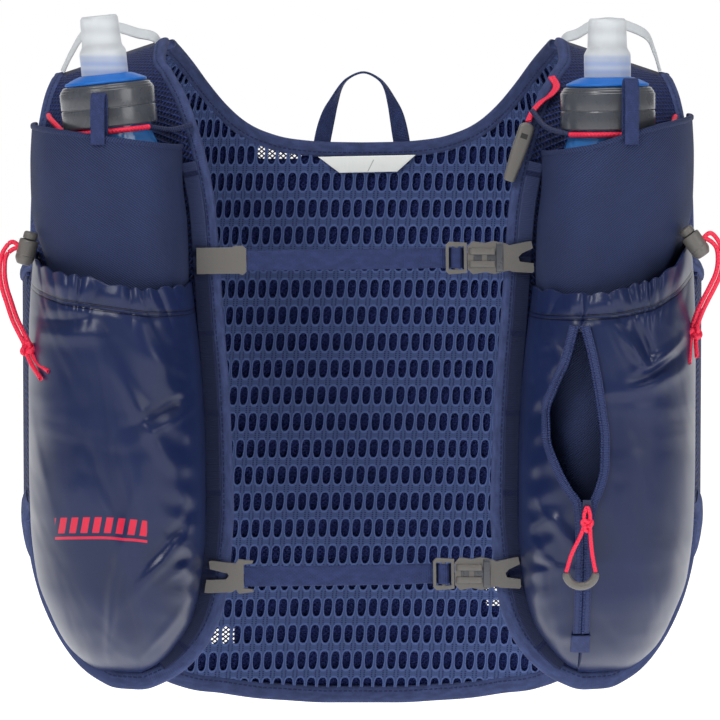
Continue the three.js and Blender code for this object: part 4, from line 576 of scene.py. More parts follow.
class Pocket:
    """Front of a pocket as a function of the place across and down it, all in whole arrays."""

    def __init__(self, word, side, kind):
        self.word, self.side = word, side
        self.table = FLASK_POCKET if kind == "flask" else LOWER_POCKET
        self.front, self.tilt = (131.0, 0.25) if kind == "flask" else (145.0, 0.15)
        self.ruffled = kind == "lower"
        self.rise = np.array(TOP_LINES[f"{word}_{kind}"], float)
        self.start, self.end = self.table[0, 0], self.table[-1, 0]
        self.folds = FOLDS[word] if self.ruffled else ()

    def edges(self, drop, inset):
        """Inner and outer edge at a drop, in millimetres from the middle."""
        low = cubic(self.table[:, 0], self.table[:, 1], drop) * HALF_WIDTH + inset
        high = cubic(self.table[:, 0], self.table[:, 2], drop) * HALF_WIDTH - inset
        return low, high

    def stand_off(self, x, drop, inset, extra):
        """Depth of the front: the torso's skin plus an arch over the width, full to the table's share."""
        low, high = self.edges(drop, inset)
        share = np.clip((np.abs(x) - low) / (high - low), 0, 1)
        foot = -skin(x, -drop * LENGTH, -1, SPACER + GAP * 1.5)[..., 1]
        full = cubic(self.table[:, 0], self.table[:, 3], drop + 0.7 * inset / LENGTH)
        reach = (self.front - self.tilt * (np.abs(x) - (low + high) / 2) - foot) * full
        arch = np.maximum(1 - np.abs(1 - 2 * share) ** ARCH_POWER, 0) ** (1 / ARCH_POWER)
        return foot + (np.maximum(reach - inset, GAP) + extra) * arch

    def phase(self, share):
        """Half turns of the gathers along the top edge, closer together in places."""
        return math.pi * share * 10 + 1.5 * np.sin(8 * share + self.side) + 0.6 * np.sin(19 * share)

    def relief(self, share, down):
        """Gathers at the top edge, the sewn channel below them and the cloth's folds, in millimetres."""
        if not self.ruffled:
            sag = np.exp(-((down / 0.05) ** 2))
            return 0.5 * np.sin(9 * share + 2 * self.side) * sag + 0.35 * np.sin(5 * share + 7 * down)
        seam = CHANNEL_DROP / (LENGTH * (self.end - self.start))
        top = np.exp(-((down / seam) ** 2) * 1.1)
        wave = np.sin(9 * math.pi * share + 1.3 * np.sin(5 * share)) * 1.3 * top
        channel = -1.5 * np.exp(-(((down - seam) / (seam * 0.2)) ** 2))
        puff = 1.3 * np.exp(-((down / seam - 0.45) ** 2) * 7)
        fade = np.clip(down / seam, 0, 1) * np.clip((1 - down) * 6, 0, 1)
        reach = np.exp(-((down / seam - 0.35) ** 2) * 2.6)
        reach = reach + np.exp(-((down / seam - 1.3) ** 2) * 6) * 0.35
        puffs = np.abs(np.sin(self.phase(share) + 1.5 * down / seam * np.sin(9 * share))) - 0.6
        gather = reach * puffs * (1.2 + 1.1 * np.sin(14 * share + self.side) ** 2)
        inner = np.exp(-((share / 0.15) ** 2)) * np.clip(down / seam - 1, 0, 1)
        inner = inner * np.clip((0.93 - down) * 8, 0, 1)
        pucker = 1.9 * np.sin(2 * math.pi * (down * 14 + 2.6 * share) + 1.7 * np.sin(9 * down)) * inner
        gather = gather + puff + pucker
        height = 0
        for at_across, at_down, slant, half_length, half_width, rise in self.folds:
            turn = math.radians(slant)
            x = (share - at_across) * POCKET_SHARES[0]
            z = (at_down - down) * POCKET_SHARES[1]
            along = x * math.cos(turn) + z * math.sin(turn)
            beside = -x * math.sin(turn) + z * math.cos(turn)
            height = height + rise * np.exp(-((along / half_length) ** 2) - (beside / half_width) ** 2)
        return wave + channel + gather + height * LENGTH * fade

    def point(self, share, down, inset):
        """Point at a share of the way across and down."""
        rise = np.interp(share, self.rise[:, 0], self.rise[:, 1]) * np.clip(1 - down * 2.2, 0, 1)
        drop = self.start + (self.end - self.start) * down
        low, high = self.edges(drop, inset)
        x = self.side * (low + (high - low) * share)
        depth = self.stand_off(x, drop, inset, self.relief(share, down))
        scallop = 0
        if self.ruffled:
            puffs = np.abs(np.sin(self.phase(share))) - 0.6
            scallop = (1.7 * puffs + 0.8 * np.sin(11 * share + 1)) * np.clip(1 - down * 22, 0, 1)
        return np.stack([x, -depth, -drop * LENGTH + rise * LENGTH + scallop], -1)

    def place(self, x_share, drop, lift):
        """Point on the front at a share of the half width and a drop share, lifted forwards."""
        x_share, drop = np.broadcast_arrays(np.asarray(x_share, float), np.asarray(drop, float))
        x = x_share * HALF_WIDTH
        low, high = self.edges(drop, 0)
        share = np.clip((x - low) / (high - low), 0, 1)
        down = (drop - self.start) / (self.end - self.start)
        depth = self.stand_off(self.side * x, drop, 0, self.relief(share, down))
        return np.stack([self.side * x, -depth - lift, -drop * LENGTH], -1)


def arch_share(step):
    """Shares of the way across at even steps of the arch's own angle."""
    swing = np.cos(math.pi * step)
    return (1 - np.sign(swing) * np.abs(swing) ** (2 / ARCH_POWER)) / 2


def eased_rows(count, top=0.45):
    """Row steps from 0 to 1, closer together near the top."""
    t = np.linspace(0, 1, count)
    return top * t**2 + (1 - top) * t


POCKETS = {(word, kind): Pocket(word, side, kind) for word, side in SIDES for kind in ("flask", "lower")}


def ring(radius_a, radius_b=None, sides=12, power=2.0, shift=(0, 0)):
    """Closed section: a superellipse of the two half sizes."""
    radius_b = radius_a if radius_b is None else radius_b
    turn = np.linspace(0, 2 * math.pi, sides, endpoint=False)
    c, s = np.cos(turn), np.sin(turn)
    a = np.sign(c) * np.abs(c) ** (2 / power) * radius_a + shift[0]
    b = np.sign(s) * np.abs(s) ** (2 / power) * radius_b + shift[1]
    return np.stack([a, b], -1)


def turned(name, profile, sides, place):
    """Solid of revolution: a profile of level, half width and half depth, put in place by a function."""
    profile = np.array([(p[0], p[1], p[2] if len(p) > 2 else p[1]) for p in profile], float)
    turn = np.linspace(0, 2 * math.pi, sides, endpoint=False)
    level_z = profile[:, :1] + 0 * turn
    points = place(np.cos(turn) * profile[:, 1:2], np.sin(turn) * profile[:, 2:3], level_z)
    faces = quads(len(profile), sides, 0, False, True)
    flat = np.stack([turn + 0 * level_z, level_z, 0 * level_z], -1)
    return put(name, points, outward(points, faces)[0], flat)


def bevelled(profile, radius, steps=4):
    """Profile whose inner corners are rounded off by short arcs."""
    profile = np.asarray(profile, float)
    out = [profile[0]]
    for k in range(1, len(profile) - 1):
        before, here, after = profile[k - 1], profile[k], profile[k + 1]
        a, b = before - here, after - here
        la, lb = np.linalg.norm(a[:2]), np.linalg.norm(b[:2])
        reach = min(radius, la * 0.45, lb * 0.45)
        for t in np.linspace(0, 1, steps):
            p, q = here + a / max(la, 1e-9) * reach, here + b / max(lb, 1e-9) * reach
            out.append((1 - t) ** 2 * p + 2 * t * (1 - t) * here + t**2 * q)
    out.append(profile[-1])
    return np.array(out)


class Value:
    """Output of a shader node that adds, multiplies and compares like a number."""

    def __init__(self, look, socket):
        self.look, self.socket = look, socket

    def math(self, kind, *others):
        return self.look.node("ShaderNodeMath", [self, *others], operation=kind)

    def __add__(self, other):
        return self.math("ADD", other)

    def __sub__(self, other):
        return self.math("SUBTRACT", other)

    def __rsub__(self, other):
        return (self * -1) + other

    def __mul__(self, other):
        return self.math("MULTIPLY", other)

    def __truediv__(self, other):
        return self.math("DIVIDE", other)

    def __pow__(self, other):
        return self.math("POWER", other)

    __radd__ = __add__
    __rmul__ = __mul__

    def abs(self):
        return self.math("ABSOLUTE")

    def sin(self):
        return self.math("SINE")

    def max(self, other):
        return self.math("MAXIMUM", other)

    def min(self, other):
        return self.math("MINIMUM", other)

    def cell(self, pitch, offset=0.0):
        """Distance from the middle of the repeating cell, in the input's unit."""
        return ((self / pitch + offset).math("FRACT") - 0.5) * pitch

    def wave(self):
        """Sine of the value, raised to run from 0 to 1."""
        return self.sin() * 0.5 + 0.5

    def step(self, low, high):
        """0 below low, 1 above high and a smooth rise between."""
        return self.look.node(
            "ShaderNodeMapRange", [self, low, high, 0.0, 1.0], interpolation_type="SMOOTHSTEP", clamp=True
        )

    def band(self, middle, half, soft):
        """1 within half of the middle, falling to 0 over soft."""
        return 1 - (self - middle).abs().step(half, half + soft)


class Look:
    """Material under construction: constants go on the sockets, the rest through Value."""

    def __init__(self, name, **constants):
        self.material = bpy.data.materials.new(name)
        self.material.use_nodes = True
        self.tree = self.material.node_tree
        self.principled = self.tree.nodes["Principled BSDF"]
        for key, value in constants.items():
            self.set(key.replace("_", " "), value)

    def node(self, kind, inputs=(), out=0, **settings):
        made = self.tree.nodes.new(kind)
        for key, value in settings.items():
            setattr(made, key, value)
        pairs = inputs.items() if isinstance(inputs, dict) else enumerate(inputs)
        for key, value in pairs:
            self.link(made.inputs[key], value)
        return Value(self, made.outputs[out])

    def link(self, socket, value):
        if isinstance(value, Value):
            self.tree.links.new(value.socket, socket)
        elif value is not None:
            if socket.type == "RGBA" and len(value) == 3:
                value = (*value, 1)
            socket.default_value = value

    def set(self, name, value):
        for title in (name, name.title(), name.replace("Ior", "IOR")):
            if title in self.principled.inputs:
                self.link(self.principled.inputs[title], value)
                return
        raise KeyError(name)

    def flat(self):
        """The piece's own flat coordinates in millimetres, as three values."""
        vector = self.node("ShaderNodeAttribute", attribute_name="flat", out=1)
        return [self.node("ShaderNodeSeparateXYZ", [vector], out=k) for k in range(3)]

    def place(self):
        """Object coordinates in millimetres, as three values."""
        vector = self.node("ShaderNodeTexCoord", out=3)
        return [self.node("ShaderNodeSeparateXYZ", [vector], out=k) * 1000 for k in range(3)]

    def vector(self, x, y, z=0.0):
        return self.node("ShaderNodeCombineXYZ", [x, y, z])

    def noise(self, vector, scale, detail=2.0, distortion=0.0):
        inputs = {"Vector": vector, "Scale": scale, "Detail": detail, "Distortion": distortion}
        return self.node("ShaderNodeTexNoise", inputs)

    def grain(self, scale, detail=2.0):
        """Noise over the Object coordinates in millimetres."""
        return self.noise(self.vector(*self.place()), scale, detail)

    def mix(self, factor, first, second):
        """Colour mix of two colours, constants or values."""
        made = self.tree.nodes.new("ShaderNodeMix")
        made.data_type = "RGBA"
        self.link(made.inputs[0], factor)
        self.link(made.inputs[6], first)
        self.link(made.inputs[7], second)
        return Value(self, made.outputs[2])

    def bump(self, height, distance, strength=1.0):
        """Bump from a height from 0 to 1 that stands for a distance in metres."""
        self.set("Normal", self.node("ShaderNodeBump", {
            "Height": height, "Distance": distance, "Strength": strength,
        }))


def linear(code):
    """Linear colour of a #rrggbb code."""
    parts = [int(code[k : k + 2], 16) / 255 for k in (1, 3, 5)]
    return tuple(p / 12.92 if p <= 0.04045 else ((p + 0.055) / 1.055) ** 2.4 for p in parts)


def shade(colour, times):
    """Colour times a number, at most 1."""
    return tuple(min(part * times, 1) for part in colour)


def cloth(name, rough):
    """Material of a dull cloth."""
    return Look(name, Roughness=rough, Specular_IOR_Level=0.25)


def tint(name, code, description):
    return FloatVectorProperty(
        name=name, description=description, subtype="COLOR", size=3, min=0, max=1, default=linear(code)
    )


def length(name, millimetres, description):
    return FloatProperty(
        name=name, description=description, subtype="DISTANCE", unit="LENGTH", min=0, default=millimetres * MM
    )


class VestColours(bpy.types.PropertyGroup):
    """Colours of the vest's cloths, cords and hardware."""

    spacer: tint("Spacer mesh", "#42527f", "Knitted face of the back")
    spacer_dark: tint("Mesh depth", "#0c1848", "Net behind the holes of the back")
    net: tint("Strap net", "#1a2858", "Net of the shoulder straps and the sides")
    binding: tint("Binding", "#3f4b76", "Rolled edge bindings")
    nylon: tint("Pocket nylon", "#182347", "Smooth cloth of the lower pockets")
    stretch: tint("Stretch mesh", "#202a49", "Ribbed cloth of the flask pockets")
    webbing: tint("Webbing", "#2c3864", "Straps, tapes and loops")
    thread: tint("Thread", "#141d45", "Stitches and bartacks")
    red: tint("Red cord", "#f2234a", "Elastic and pull cords")
    navy_cord: tint("Navy cord", "#1d2850", "Second half of the neck cords")
    grey: tint("Grey plastic", "#625f5c", "Buckles, locks, whistle and grip")
    smoke: tint("Smoke plastic", "#42454c", "Flask caps")
    blue: tint("Blue plastic", "#1063b8", "Collars on the caps")
    silicone: tint("Silicone", "#e0e4e7", "Bite valves")
    film: tint("Flask film", "#2f78c4", "Soft flasks")
    label: tint("Label", "#eef1ee", "Neck label")
    band: tint("Pale band", "#d3d8dc", "Bands over the shoulders")
    mark: tint("Mark", "#c8203f", "Printed bars on the left pocket")


class VestSizes(bpy.types.PropertyGroup):
    """Sizes of what the cloth and trim add to the solids."""

    hole_pitch: length("Hole pitch", 5.8, "From one hole of the back to the next across")
    hole_row: length("Hole rows", 13.7, "From one row of holes to the next")
    hole_width: length("Hole width", 4.3, "Width of a hole of the back")
    hole_height: length("Hole height", 9.4, "Height of a hole of the back")
    face_thickness: length("Face", 0.9, "Thickness of the knitted face")
    cord: length("Cord", 2.2, "Diameter of the pull cords")
    elastic: length("Elastic", 2.6, "Diameter of the neck cords")
    binding: length("Binding", 4.6, "Thickness of the rolled bindings")
    tooth: length("Zip tooth", 1.25, "From one zip tooth to the next")
    camera: length("Camera distance", 2290, "From the camera to the middle of the vest")
    lens: FloatProperty(name="Lens", description="Camera's focal length in millimetres", default=234, min=10)
    floor: length("Floor", 430, "Drop of the floor below the shoulders")


LOOKS = {}


def look(name):
    """Material of a slot, made once from the scene's colours."""
    if name not in LOOKS:
        LOOKS[name] = globals()[f"look_{name}"](bpy.context.scene.vest_colours, bpy.context.scene.vest_sizes)
    return LOOKS[name].material


def finish_piece(obj, material, slot, replaces=(), body="vest"):
    """Gives a piece its material, its slot, its CAD body and the solids that it stands for."""
    obj.data.materials.clear()
    obj.data.materials.append(look(material))
    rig.ride(obj, body)
    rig.slot(obj, slot)
    if replaces:
        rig.replaces(obj, *replaces)
    return obj


def holes(surface, sizes):
    """Flat place on the back and the nearest hole's own measure, 1 at its edge."""
    u, v, _ = surface.flat()
    u = u + v * 0.075
    pitch, row = sizes.hole_pitch * 1000, sizes.hole_row * 1000
    across, down = u.cell(pitch), v.cell(row)
    wide, high = sizes.hole_width * 500, sizes.hole_height * 500
    narrow = 1 - (down / high).max(0.0) * 0.12
    measure = (across.abs() / (narrow * wide)) ** 2.8 + (down.abs() / high) ** 3.2
    return u, v, measure


def look_mesh_face(c, s):
    """Knitted face: oval holes cut by alpha, a pale rim round each as a painted highlight and small dark ticks between
    the rows.
    """
    m = cloth("spacer_mesh_face", 0.78)
    u, v, measure = holes(m, s)
    m.set("Alpha", measure.step(0.86, 1.0))
    rim = measure.band(1.35, 0.3, 0.5)
    pitch, row = s.hole_pitch * 1000, s.hole_row * 1000
    between = v.cell(row, 0.5).abs()
    pair = (u.cell(pitch, 0.5).abs() - 0.95).abs()
    ticks = pair.step(0.55, 0.2) * between.step(2.3, 1.9) * (v.cell(1.0).abs()).step(0.34, 0.2)
    weave = m.noise(m.vector(u * 0.9, v * 0.9), 2.6, 3.0)
    # painted highlight: the raised rim round each hole is painted lighter than the cloth
    base = m.mix(rim * 0.5, m.mix(weave.step(0.3, 0.7), shade(c.spacer, 0.72), c.spacer),
                 shade(c.spacer, 1.75))
    m.set("Base Color", m.mix(ticks * 0.8, base, c.spacer_dark))
    knit = (u * 5.2).sin() * (v * 5.2).sin() * 0.25 + 0.5
    m.bump(rim * 0.5 + knit * 0.25 - ticks * 0.6 + weave * 0.25, 0.0004, 0.8)
    return m


def diamonds(m, u, v, pitch_u, pitch_v):
    """Diamond net: 0 on the threads and up to 1 in the middle of a diamond."""
    a = (u / pitch_u + v / pitch_v).cell(1.0).abs()
    b = (u / pitch_u - v / pitch_v).cell(1.0).abs()
    return 1 - (a.max(b) * 2)


# Columns: middle across and up, half width and half height in millimetres
OPEN_SPOTS = ((-42, -57, 14, 8), (-74, -308, 10, 8), (68, -286, 5, 9))


def look_mesh_net(c, s):
    """Dark net behind the face, open to the light only in a few small spots."""
    m = cloth("spacer_mesh_net", 0.7)
    u, v, _ = m.flat()
    open_net = diamonds(m, u, v, 2.9, 2.3)
    m.set("Base Color", m.mix(open_net.step(0.2, 0.5), shade(c.spacer_dark, 1.7), c.spacer_dark))
    x, _, z = m.place()
    spots = 0
    for middle_x, middle_z, wide, high in OPEN_SPOTS:
        spot = (x - middle_x).abs().step(wide, wide * 0.6) * (z - middle_z).abs().step(high, high * 0.6)
        spots = spot.max(spots)
    m.set("Alpha", 1 - open_net.step(0.3, 0.42) * spots.step(0.3, 0.5))
    m.bump(open_net * -1, 0.0005)
    return m


def look_strap_net(c, s):
    """Dark net of the straps with small painted glints where its threads cross."""
    m = cloth("strap_net", 0.6)
    u, v, _ = m.flat()
    net = diamonds(m, u, v, 3.4, 2.9)
    # painted highlight: small glints on the threads, painted much lighter in the base colour
    glint = net.step(0.16, 0.05) * m.noise(m.vector(u, v), 0.8, 2.0).step(0.45, 0.6)
    base = m.mix(net.step(0.1, 0.55), c.net, shade(c.net, 0.28))
    m.set("Base Color", m.mix(glint * 0.7, base, shade(c.net, 4.0)))
    m.bump(net * -1, 0.0006)
    return m


def look_binding(c, s):
    """Woven tape with a stitch line along its inner edge."""
    m = cloth("binding", 0.82)
    a, run, b = m.flat()
    weave = (run * 6.0).wave()
    blotch = m.noise(m.vector(a, run * 0.35, b), 0.45, 3.0)
    stitch = (a - 0.9).abs().step(0.42, 0.25) * run.cell(2.6).abs().step(0.95, 0.75)
    base = m.mix(blotch.step(0.3, 0.75), shade(c.binding, 0.68), c.binding)
    m.set("Base Color", m.mix(stitch * 0.6, base, c.thread))
    m.bump(weave * 0.14 + blotch * 0.5 - stitch * 0.5 + 0.3, 0.0005)
    return m


def look_webbing(c, s):
    """Webbing with fine cross ribs and plain edges."""
    m = cloth("webbing", 0.75)
    a, run, _ = m.flat()
    ribs = (run * 7.5).wave()
    twill = ((run + a) * 4.0).wave()
    blotch = m.noise(m.vector(a, run * 0.5), 0.35, 2.0)
    m.set("Base Color", m.mix(blotch.step(0.3, 0.75), shade(c.webbing, 0.72), c.webbing))
    m.bump(ribs * 0.35 + twill * 0.25 + blotch * 0.4, 0.0003)
    return m


TACK_PITCH = 38.0


def look_taped(c, s):
    """Daisy-chain tape: webbing with bartacks across it at even steps, in the binding's colour at its top."""
    m = cloth("edge_tape", 0.75)
    a, run, _ = m.flat()
    tack = run.cell(TACK_PITCH, 0.35).abs().step(1.5, 1.1)
    zigzag = ((run * 5.0 + a * 9.0).wave()) * tack
    edge = a.abs().step(2.9, 3.4)
    base = m.mix(edge * 0.5, shade(c.webbing, 0.4), shade(c.webbing, 0.6))
    z = m.place()[2]
    base = m.mix(z.step(-112.0, -108.0), base, shade(c.binding, 0.62))
    m.set("Base Color", m.mix(tack * 0.75, base, c.thread))
    m.bump(zigzag * 0.5 + (run * 7.5).sin() * 0.12 - tack * 0.4 + 0.4, 0.0005)
    return m


def crinkle(m, u, v, seed):
    """Soft creases of thin cloth: two stretched noises, one along each slant."""
    one = m.noise(m.vector(u * 0.9 + v * 0.25, v * 0.3 - u * 0.1, seed), 0.045, 2.0, 0.6)
    two = m.noise(m.vector(u * 0.35 - v * 0.5, v * 0.9 + u * 0.2, seed + 7), 0.03, 2.0, 0.4)
    return one * 0.6 + two * 0.4


def nylon(name, c, seed, marked):
    """Smooth coated nylon with soft creases, painted lighter on their crests and darker in their hollows as painted
    highlight and shade, and two stitch lines at the channel.
    """
    m = Look(name, Roughness=0.32, Specular_IOR_Level=0.3)
    x, z, t = m.flat()
    crease = crinkle(m, x, z, seed)
    seam = ((t - CHANNEL_DROP).abs() - 0.95).abs().step(0.5, 0.25)
    dash = x.cell(2.3).abs().step(0.95, 0.75)
    # painted highlight and shade: the base colour follows the crease height, lighter on crests and darker in hollows
    body = m.mix(crease.step(0.3, 0.7), shade(c.nylon, 0.86), shade(c.nylon, 1.12))
    base = m.mix(seam * (0.55 + dash * 0.45), body, shade(c.thread, 0.4))
    if marked:
        u = (x + 143.5) / 44.0
        w = (z + 233.6 + (u - 0.5) * (u - 0.5) * 7.0) / 10.5
        inside = u.step(0.0, 0.01) * u.step(1.0, 0.99)
        bars = (u * 44.0 - w * 2.0).cell(5.5).abs().step(1.75, 1.5) * w.step(0.26, 0.3) * w.step(1.0, 0.96)
        line = w.band(0.06, 0.05, 0.02)
        base = m.mix((bars.max(line)) * inside, base, c.mark)
    m.set("Base Color", base)
    fine = m.noise(m.vector(x, z), 2.2, 2.0)
    m.bump(crease * 1.0 + fine * 0.006 - seam * 0.12, 0.0055)
    m.set("Roughness", crease.step(0.25, 0.75) * 0.1 + 0.27)
    return m


def look_nylon_left(c, s):
    return nylon("ripstop_nylon_left", c, 1.3, True)


def look_nylon_right(c, s):
    return nylon("ripstop_nylon_right", c, 5.1, False)


def look_stretch(c, s):
    """Stretch mesh with fine slanted ribs, a painted highlight on their crests, and tiny holes."""
    m = cloth("stretch_mesh", 0.72)
    u, v, _ = m.flat()
    ribs = ((u * 0.55 + v) * 5.2).wave()
    dots = ribs.step(0.45, 0.1) * ((u - v * 0.4) * 4.2).sin().step(0.0, 0.5)
    blotch = m.noise(m.vector(u, v), 0.03, 3.0)
    base = m.mix(blotch.step(0.3, 0.75), shade(c.stretch, 0.8), shade(c.stretch, 1.12))
    # painted highlight: rib crests painted much lighter than the cloth
    base = m.mix(ribs.step(0.55, 1.0) * 0.6, base, shade(c.stretch, 2.6))
    m.set("Base Color", m.mix(dots * 0.8, base, c.thread))
    m.bump(ribs * 0.25 + blotch * 1.4, 0.0009)
    return m


def cord_look(name, colour, dark):
    """Braided cord: two sets of slanted strands, with painted shade in the grooves between them."""
    m = Look(name, Roughness=0.55)
    a, run, b = m.flat()
    turn = a.math("ARCTAN2", b)
    one = (turn * 3.0 + run * 3.6).sin()
    two = (turn * 3.0 - run * 3.6).sin()
    braid = one.max(two)
    # painted shade: the colour darkens between the strands by the factor dark
    m.set("Base Color", m.mix(braid.step(-0.3, 0.6), shade(colour, dark), colour))
    m.bump(braid * 0.5 + 0.5, 0.0002)
    return m


def look_red_cord(c, s):
    return cord_look("red_cord", c.red, 0.78)


def look_navy_cord(c, s):
    return cord_look("navy_cord", c.navy_cord, 0.5)


def plastic(name, colour, rough, grain, scale=1.6, **more):
    """Moulded plastic: a fine grain in roughness and bump, from Object coordinates."""
    m = Look(name, Base_Color=tuple(colour), **more)
    speck = m.grain(scale, 3.0)
    m.set("Roughness", speck.step(0.2, 0.8) * 0.16 + rough)
    m.bump(speck, grain)
    return m


def look_grey_plastic(c, s):
    return plastic("grey_plastic", c.grey, 0.32, 0.00012)


def look_smoke_plastic(c, s):
    return plastic("smoke_plastic", c.smoke, 0.2, 0.00001, 0.15, Coat_Weight=0.3, Coat_Roughness=0.12)


def look_blue_plastic(c, s):
    return plastic("blue_plastic", c.blue, 0.35, 0.00002, 0.15, Specular_IOR_Level=0.3)


def look_clear_silicone(c, s):
    """Milky silicone with the blue stem showing through its foot."""
    m = Look("clear_silicone", Transmission_Weight=0.35, IOR=1.25, Roughness=0.28)
    z = m.place()[2]
    rings = (z * 1.7).sin() * 0.25 + 0.75
    stem = z.step(-22.0, -20.0) * z.step(-9.0, -12.0) * rings
    inner = (z * 0.9).wave()
    body = m.mix(inner * 0.4, c.silicone, shade(c.silicone, 0.72))
    m.set("Base Color", m.mix(stem * 0.45, body, tuple(min(k * 1.5 + 0.1, 1) for k in c.blue)))
    m.bump(m.grain(0.3), 0.0003)
    return m


def look_blue_film(c, s):
    """Soft flask film with slow dents."""
    m = Look("blue_film", Base_Color=tuple(c.film), Roughness=0.18, Coat_Weight=0.4)
    m.bump(m.grain(0.12), 0.002)
    return m


def look_white_print(c, s):
    """Blank woven label with one thin slanted rule."""
    m = Look("white_print", Roughness=0.6)
    x, _, z = m.place()
    rule = (x - 4.5 - (z + 67.0) * 0.5).abs().step(0.35, 0.2) * (z + 67.0).abs().step(3.2, 2.8)
    m.set("Base Color", m.mix(rule * 0.55, c.label, (0.12, 0.13, 0.15)))
    m.bump((x * 9.0).sin() * 0.5, 0.00005)
    return m


def look_pale_band(c, s):
    """Pale flat band with cross ribs."""
    m = Look("pale_band", Roughness=0.5, Transmission_Weight=0.15)
    a, run, _ = m.flat()
    ribs = (run * 5.0).wave()
    m.set("Base Color", m.mix(a.abs().step(3.0, 4.2) * 0.4, c.band, shade(c.band, 0.72)))
    m.bump(ribs, 0.00005)
    return m


def look_zip_tape(c, s):
    """Zip tape: fine ribs with painted light and shade along them, and a stitch line near its outer edge."""
    m = cloth("zip_tape", 0.6)
    a, run, _ = m.flat()
    stitch = a.abs().band(1.25, 0.16, 0.1) * run.cell(2.1).abs().step(0.85, 0.7)
    # painted light and shade: the base colour runs lighter and darker with the same ribs as the bump
    base = m.mix((run * 8.0).sin().step(-0.5, 0.8), shade(c.webbing, 0.6), shade(c.webbing, 1.2))
    m.set("Base Color", m.mix(stitch * 0.7, base, c.thread))
    m.bump((run * 8.0).sin() * 0.3 - stitch * 0.5, 0.0003)
    return m


def look_dark_hole(c, s):
    """Shaded inside of a small hole."""
    m = Look("dark_hole", Roughness=0.6)
    m.set("Base Color", m.mix(m.grain(1.0), (0.01, 0.01, 0.01), (0.02, 0.02, 0.02)))
    return m


def sewn(obj, material, slot, node, grid, held="stretched"):
    """Finishes a sewn piece and declares its cloth with a grid's width, length and area."""
    finish_piece(obj, material, slot, [node])
    across, down = arc(grid)
    width, length = float(across[:, -1].max()), float(down[-1].max())
    along, beside = grid[1:, :-1] - grid[:-1, :-1], grid[:-1, 1:] - grid[:-1, :-1]
    area = float(np.linalg.norm(np.cross(along, beside), axis=-1).sum())
    area = min(area * MM * MM, width * length * MM * MM)
    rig.sheet(obj, flat=(width * MM, length * MM), held=held, area=area)


def edge(grid, which):
    """Points of one edge of a grid with the directions that lead away from the cloth."""
    rows = {"top": (grid[0], grid[0] - grid[1]), "bottom": (grid[-1], grid[-1] - grid[-2]),
            "first": (grid[:, 0], grid[:, 0] - grid[:, 1]), "last": (grid[:, -1], grid[:, -1] - grid[:, -2])}
    points, away = rows[which]
    return points, unit(away)


def join(*parts):
    """Edges one after the other, as one."""
    return tuple(np.concatenate([part[k] for part in parts]) for k in (0, 1))


def back_to_front(part):
    return part[0][::-1], part[1][::-1]


def smoothed(values, passes, closed):
    """Values averaged with their neighbours, a quarter each side, pass after pass."""
    for _ in range(passes):
        before, after = np.roll(values, 1, 0), np.roll(values, -1, 0)
        even = (before + 2 * values + after) / 4
        if not closed:
            even[0], even[-1] = values[0], values[-1]
        values = even
    return values


def rolled(name, part, width, thick, count, closed=False):
    """Rolled tape over an edge: a rounded section carried along the edge, wider away from the cloth."""
    points, away = part
    if closed:
        points, away = np.concatenate([points, points[:1]]), np.concatenate([away, away[:1]])
    run = running(points)
    keep = np.concatenate([[True], np.diff(run) > 1e-6])
    at = np.linspace(0, run[-1], count, endpoint=not closed)
    path = np.stack([np.interp(at, run[keep], points[keep, k]) for k in range(3)], -1)
    lead = np.stack([np.interp(at, run[keep], away[keep, k]) for k in range(3)], -1)
    path, lead = smoothed(path, 6, closed), smoothed(lead, 12, closed)
    wide = np.interp(at / run[-1], *np.array(width, float).T) if np.ndim(width) else np.full(count, width)
    base = ring(0.5, thick / 2, 16, 2.7)
    section = np.stack([base[None, :, 0] * (wide[:, None] + 2.1) + wide[:, None] / 2 - 0.55,
                        np.broadcast_to(base[None, :, 1], (count, 16))], -1)
    return sweep(name, path, lead, section, closed)


def trefoil(middle, flat, lead, sizes, count):
    """Knot's path: the trefoil curve across flat, along lead and through, each times its size."""
    t = np.linspace(0, 2 * math.pi, count, endpoint=False)
    a = (np.sin(t) + 2 * np.sin(2 * t)) * sizes[0]
    b = (np.cos(t) - 2 * np.cos(2 * t)) * sizes[1]
    c = -np.sin(3 * t) * sizes[2]
    return middle + flat * a[:, None] + lead * b[:, None] + np.array([0.0, 1.0, 0.0]) * c[:, None]


def slab(width, thick, sides=12):
    """Flat section with rounded edges."""
    return ring(width / 2, thick / 2, sides, 6.0)


def tube(name, path, diameter, closed=False, sides=10, across=(0.31, 0.2, 0.93)):
    """Round cord along a path, with a start direction that never runs along it."""
    path = np.asarray(path, float)
    along = unit(np.gradient(path, axis=0))
    lead = np.empty_like(path)
    lead[:] = across
    bad = np.abs(np.sum(along * unit(lead), -1)) > 0.93
    lead[bad] = (0.93, 0.3, -0.2)
    return sweep(name, path, smoothed(lead, 4, closed), ring(diameter / 2, None, sides), closed)


def cord_piece(name, points, diameter, material, replaces, exit_at, far_end, lay, extra=()):
    """Cord along given points, declared with its own length."""
    path = spline(points, max(40, int(len(points) * 12)))
    obj = finish_piece(tube(name, path, diameter, sides=12), material, material, replaces)
    total = float(np.linalg.norm(np.diff(path, axis=0), axis=1).sum())
    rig.cord(obj, exit=tuple(np.asarray(exit_at, float) * MM), length=total * MM, diameter=diameter * MM,
            far_end=far_end, stiffness="limp", lay=lay, with_pieces=list(extra), path=(path * MM).tolist())
    return obj


def on_body(x_share, drop, lift):
    """Point over the front of the torso at shares of the half width and the length."""
    return skin(np.asarray(x_share, float) * HALF_WIDTH, -np.asarray(drop, float) * LENGTH, -1, lift)


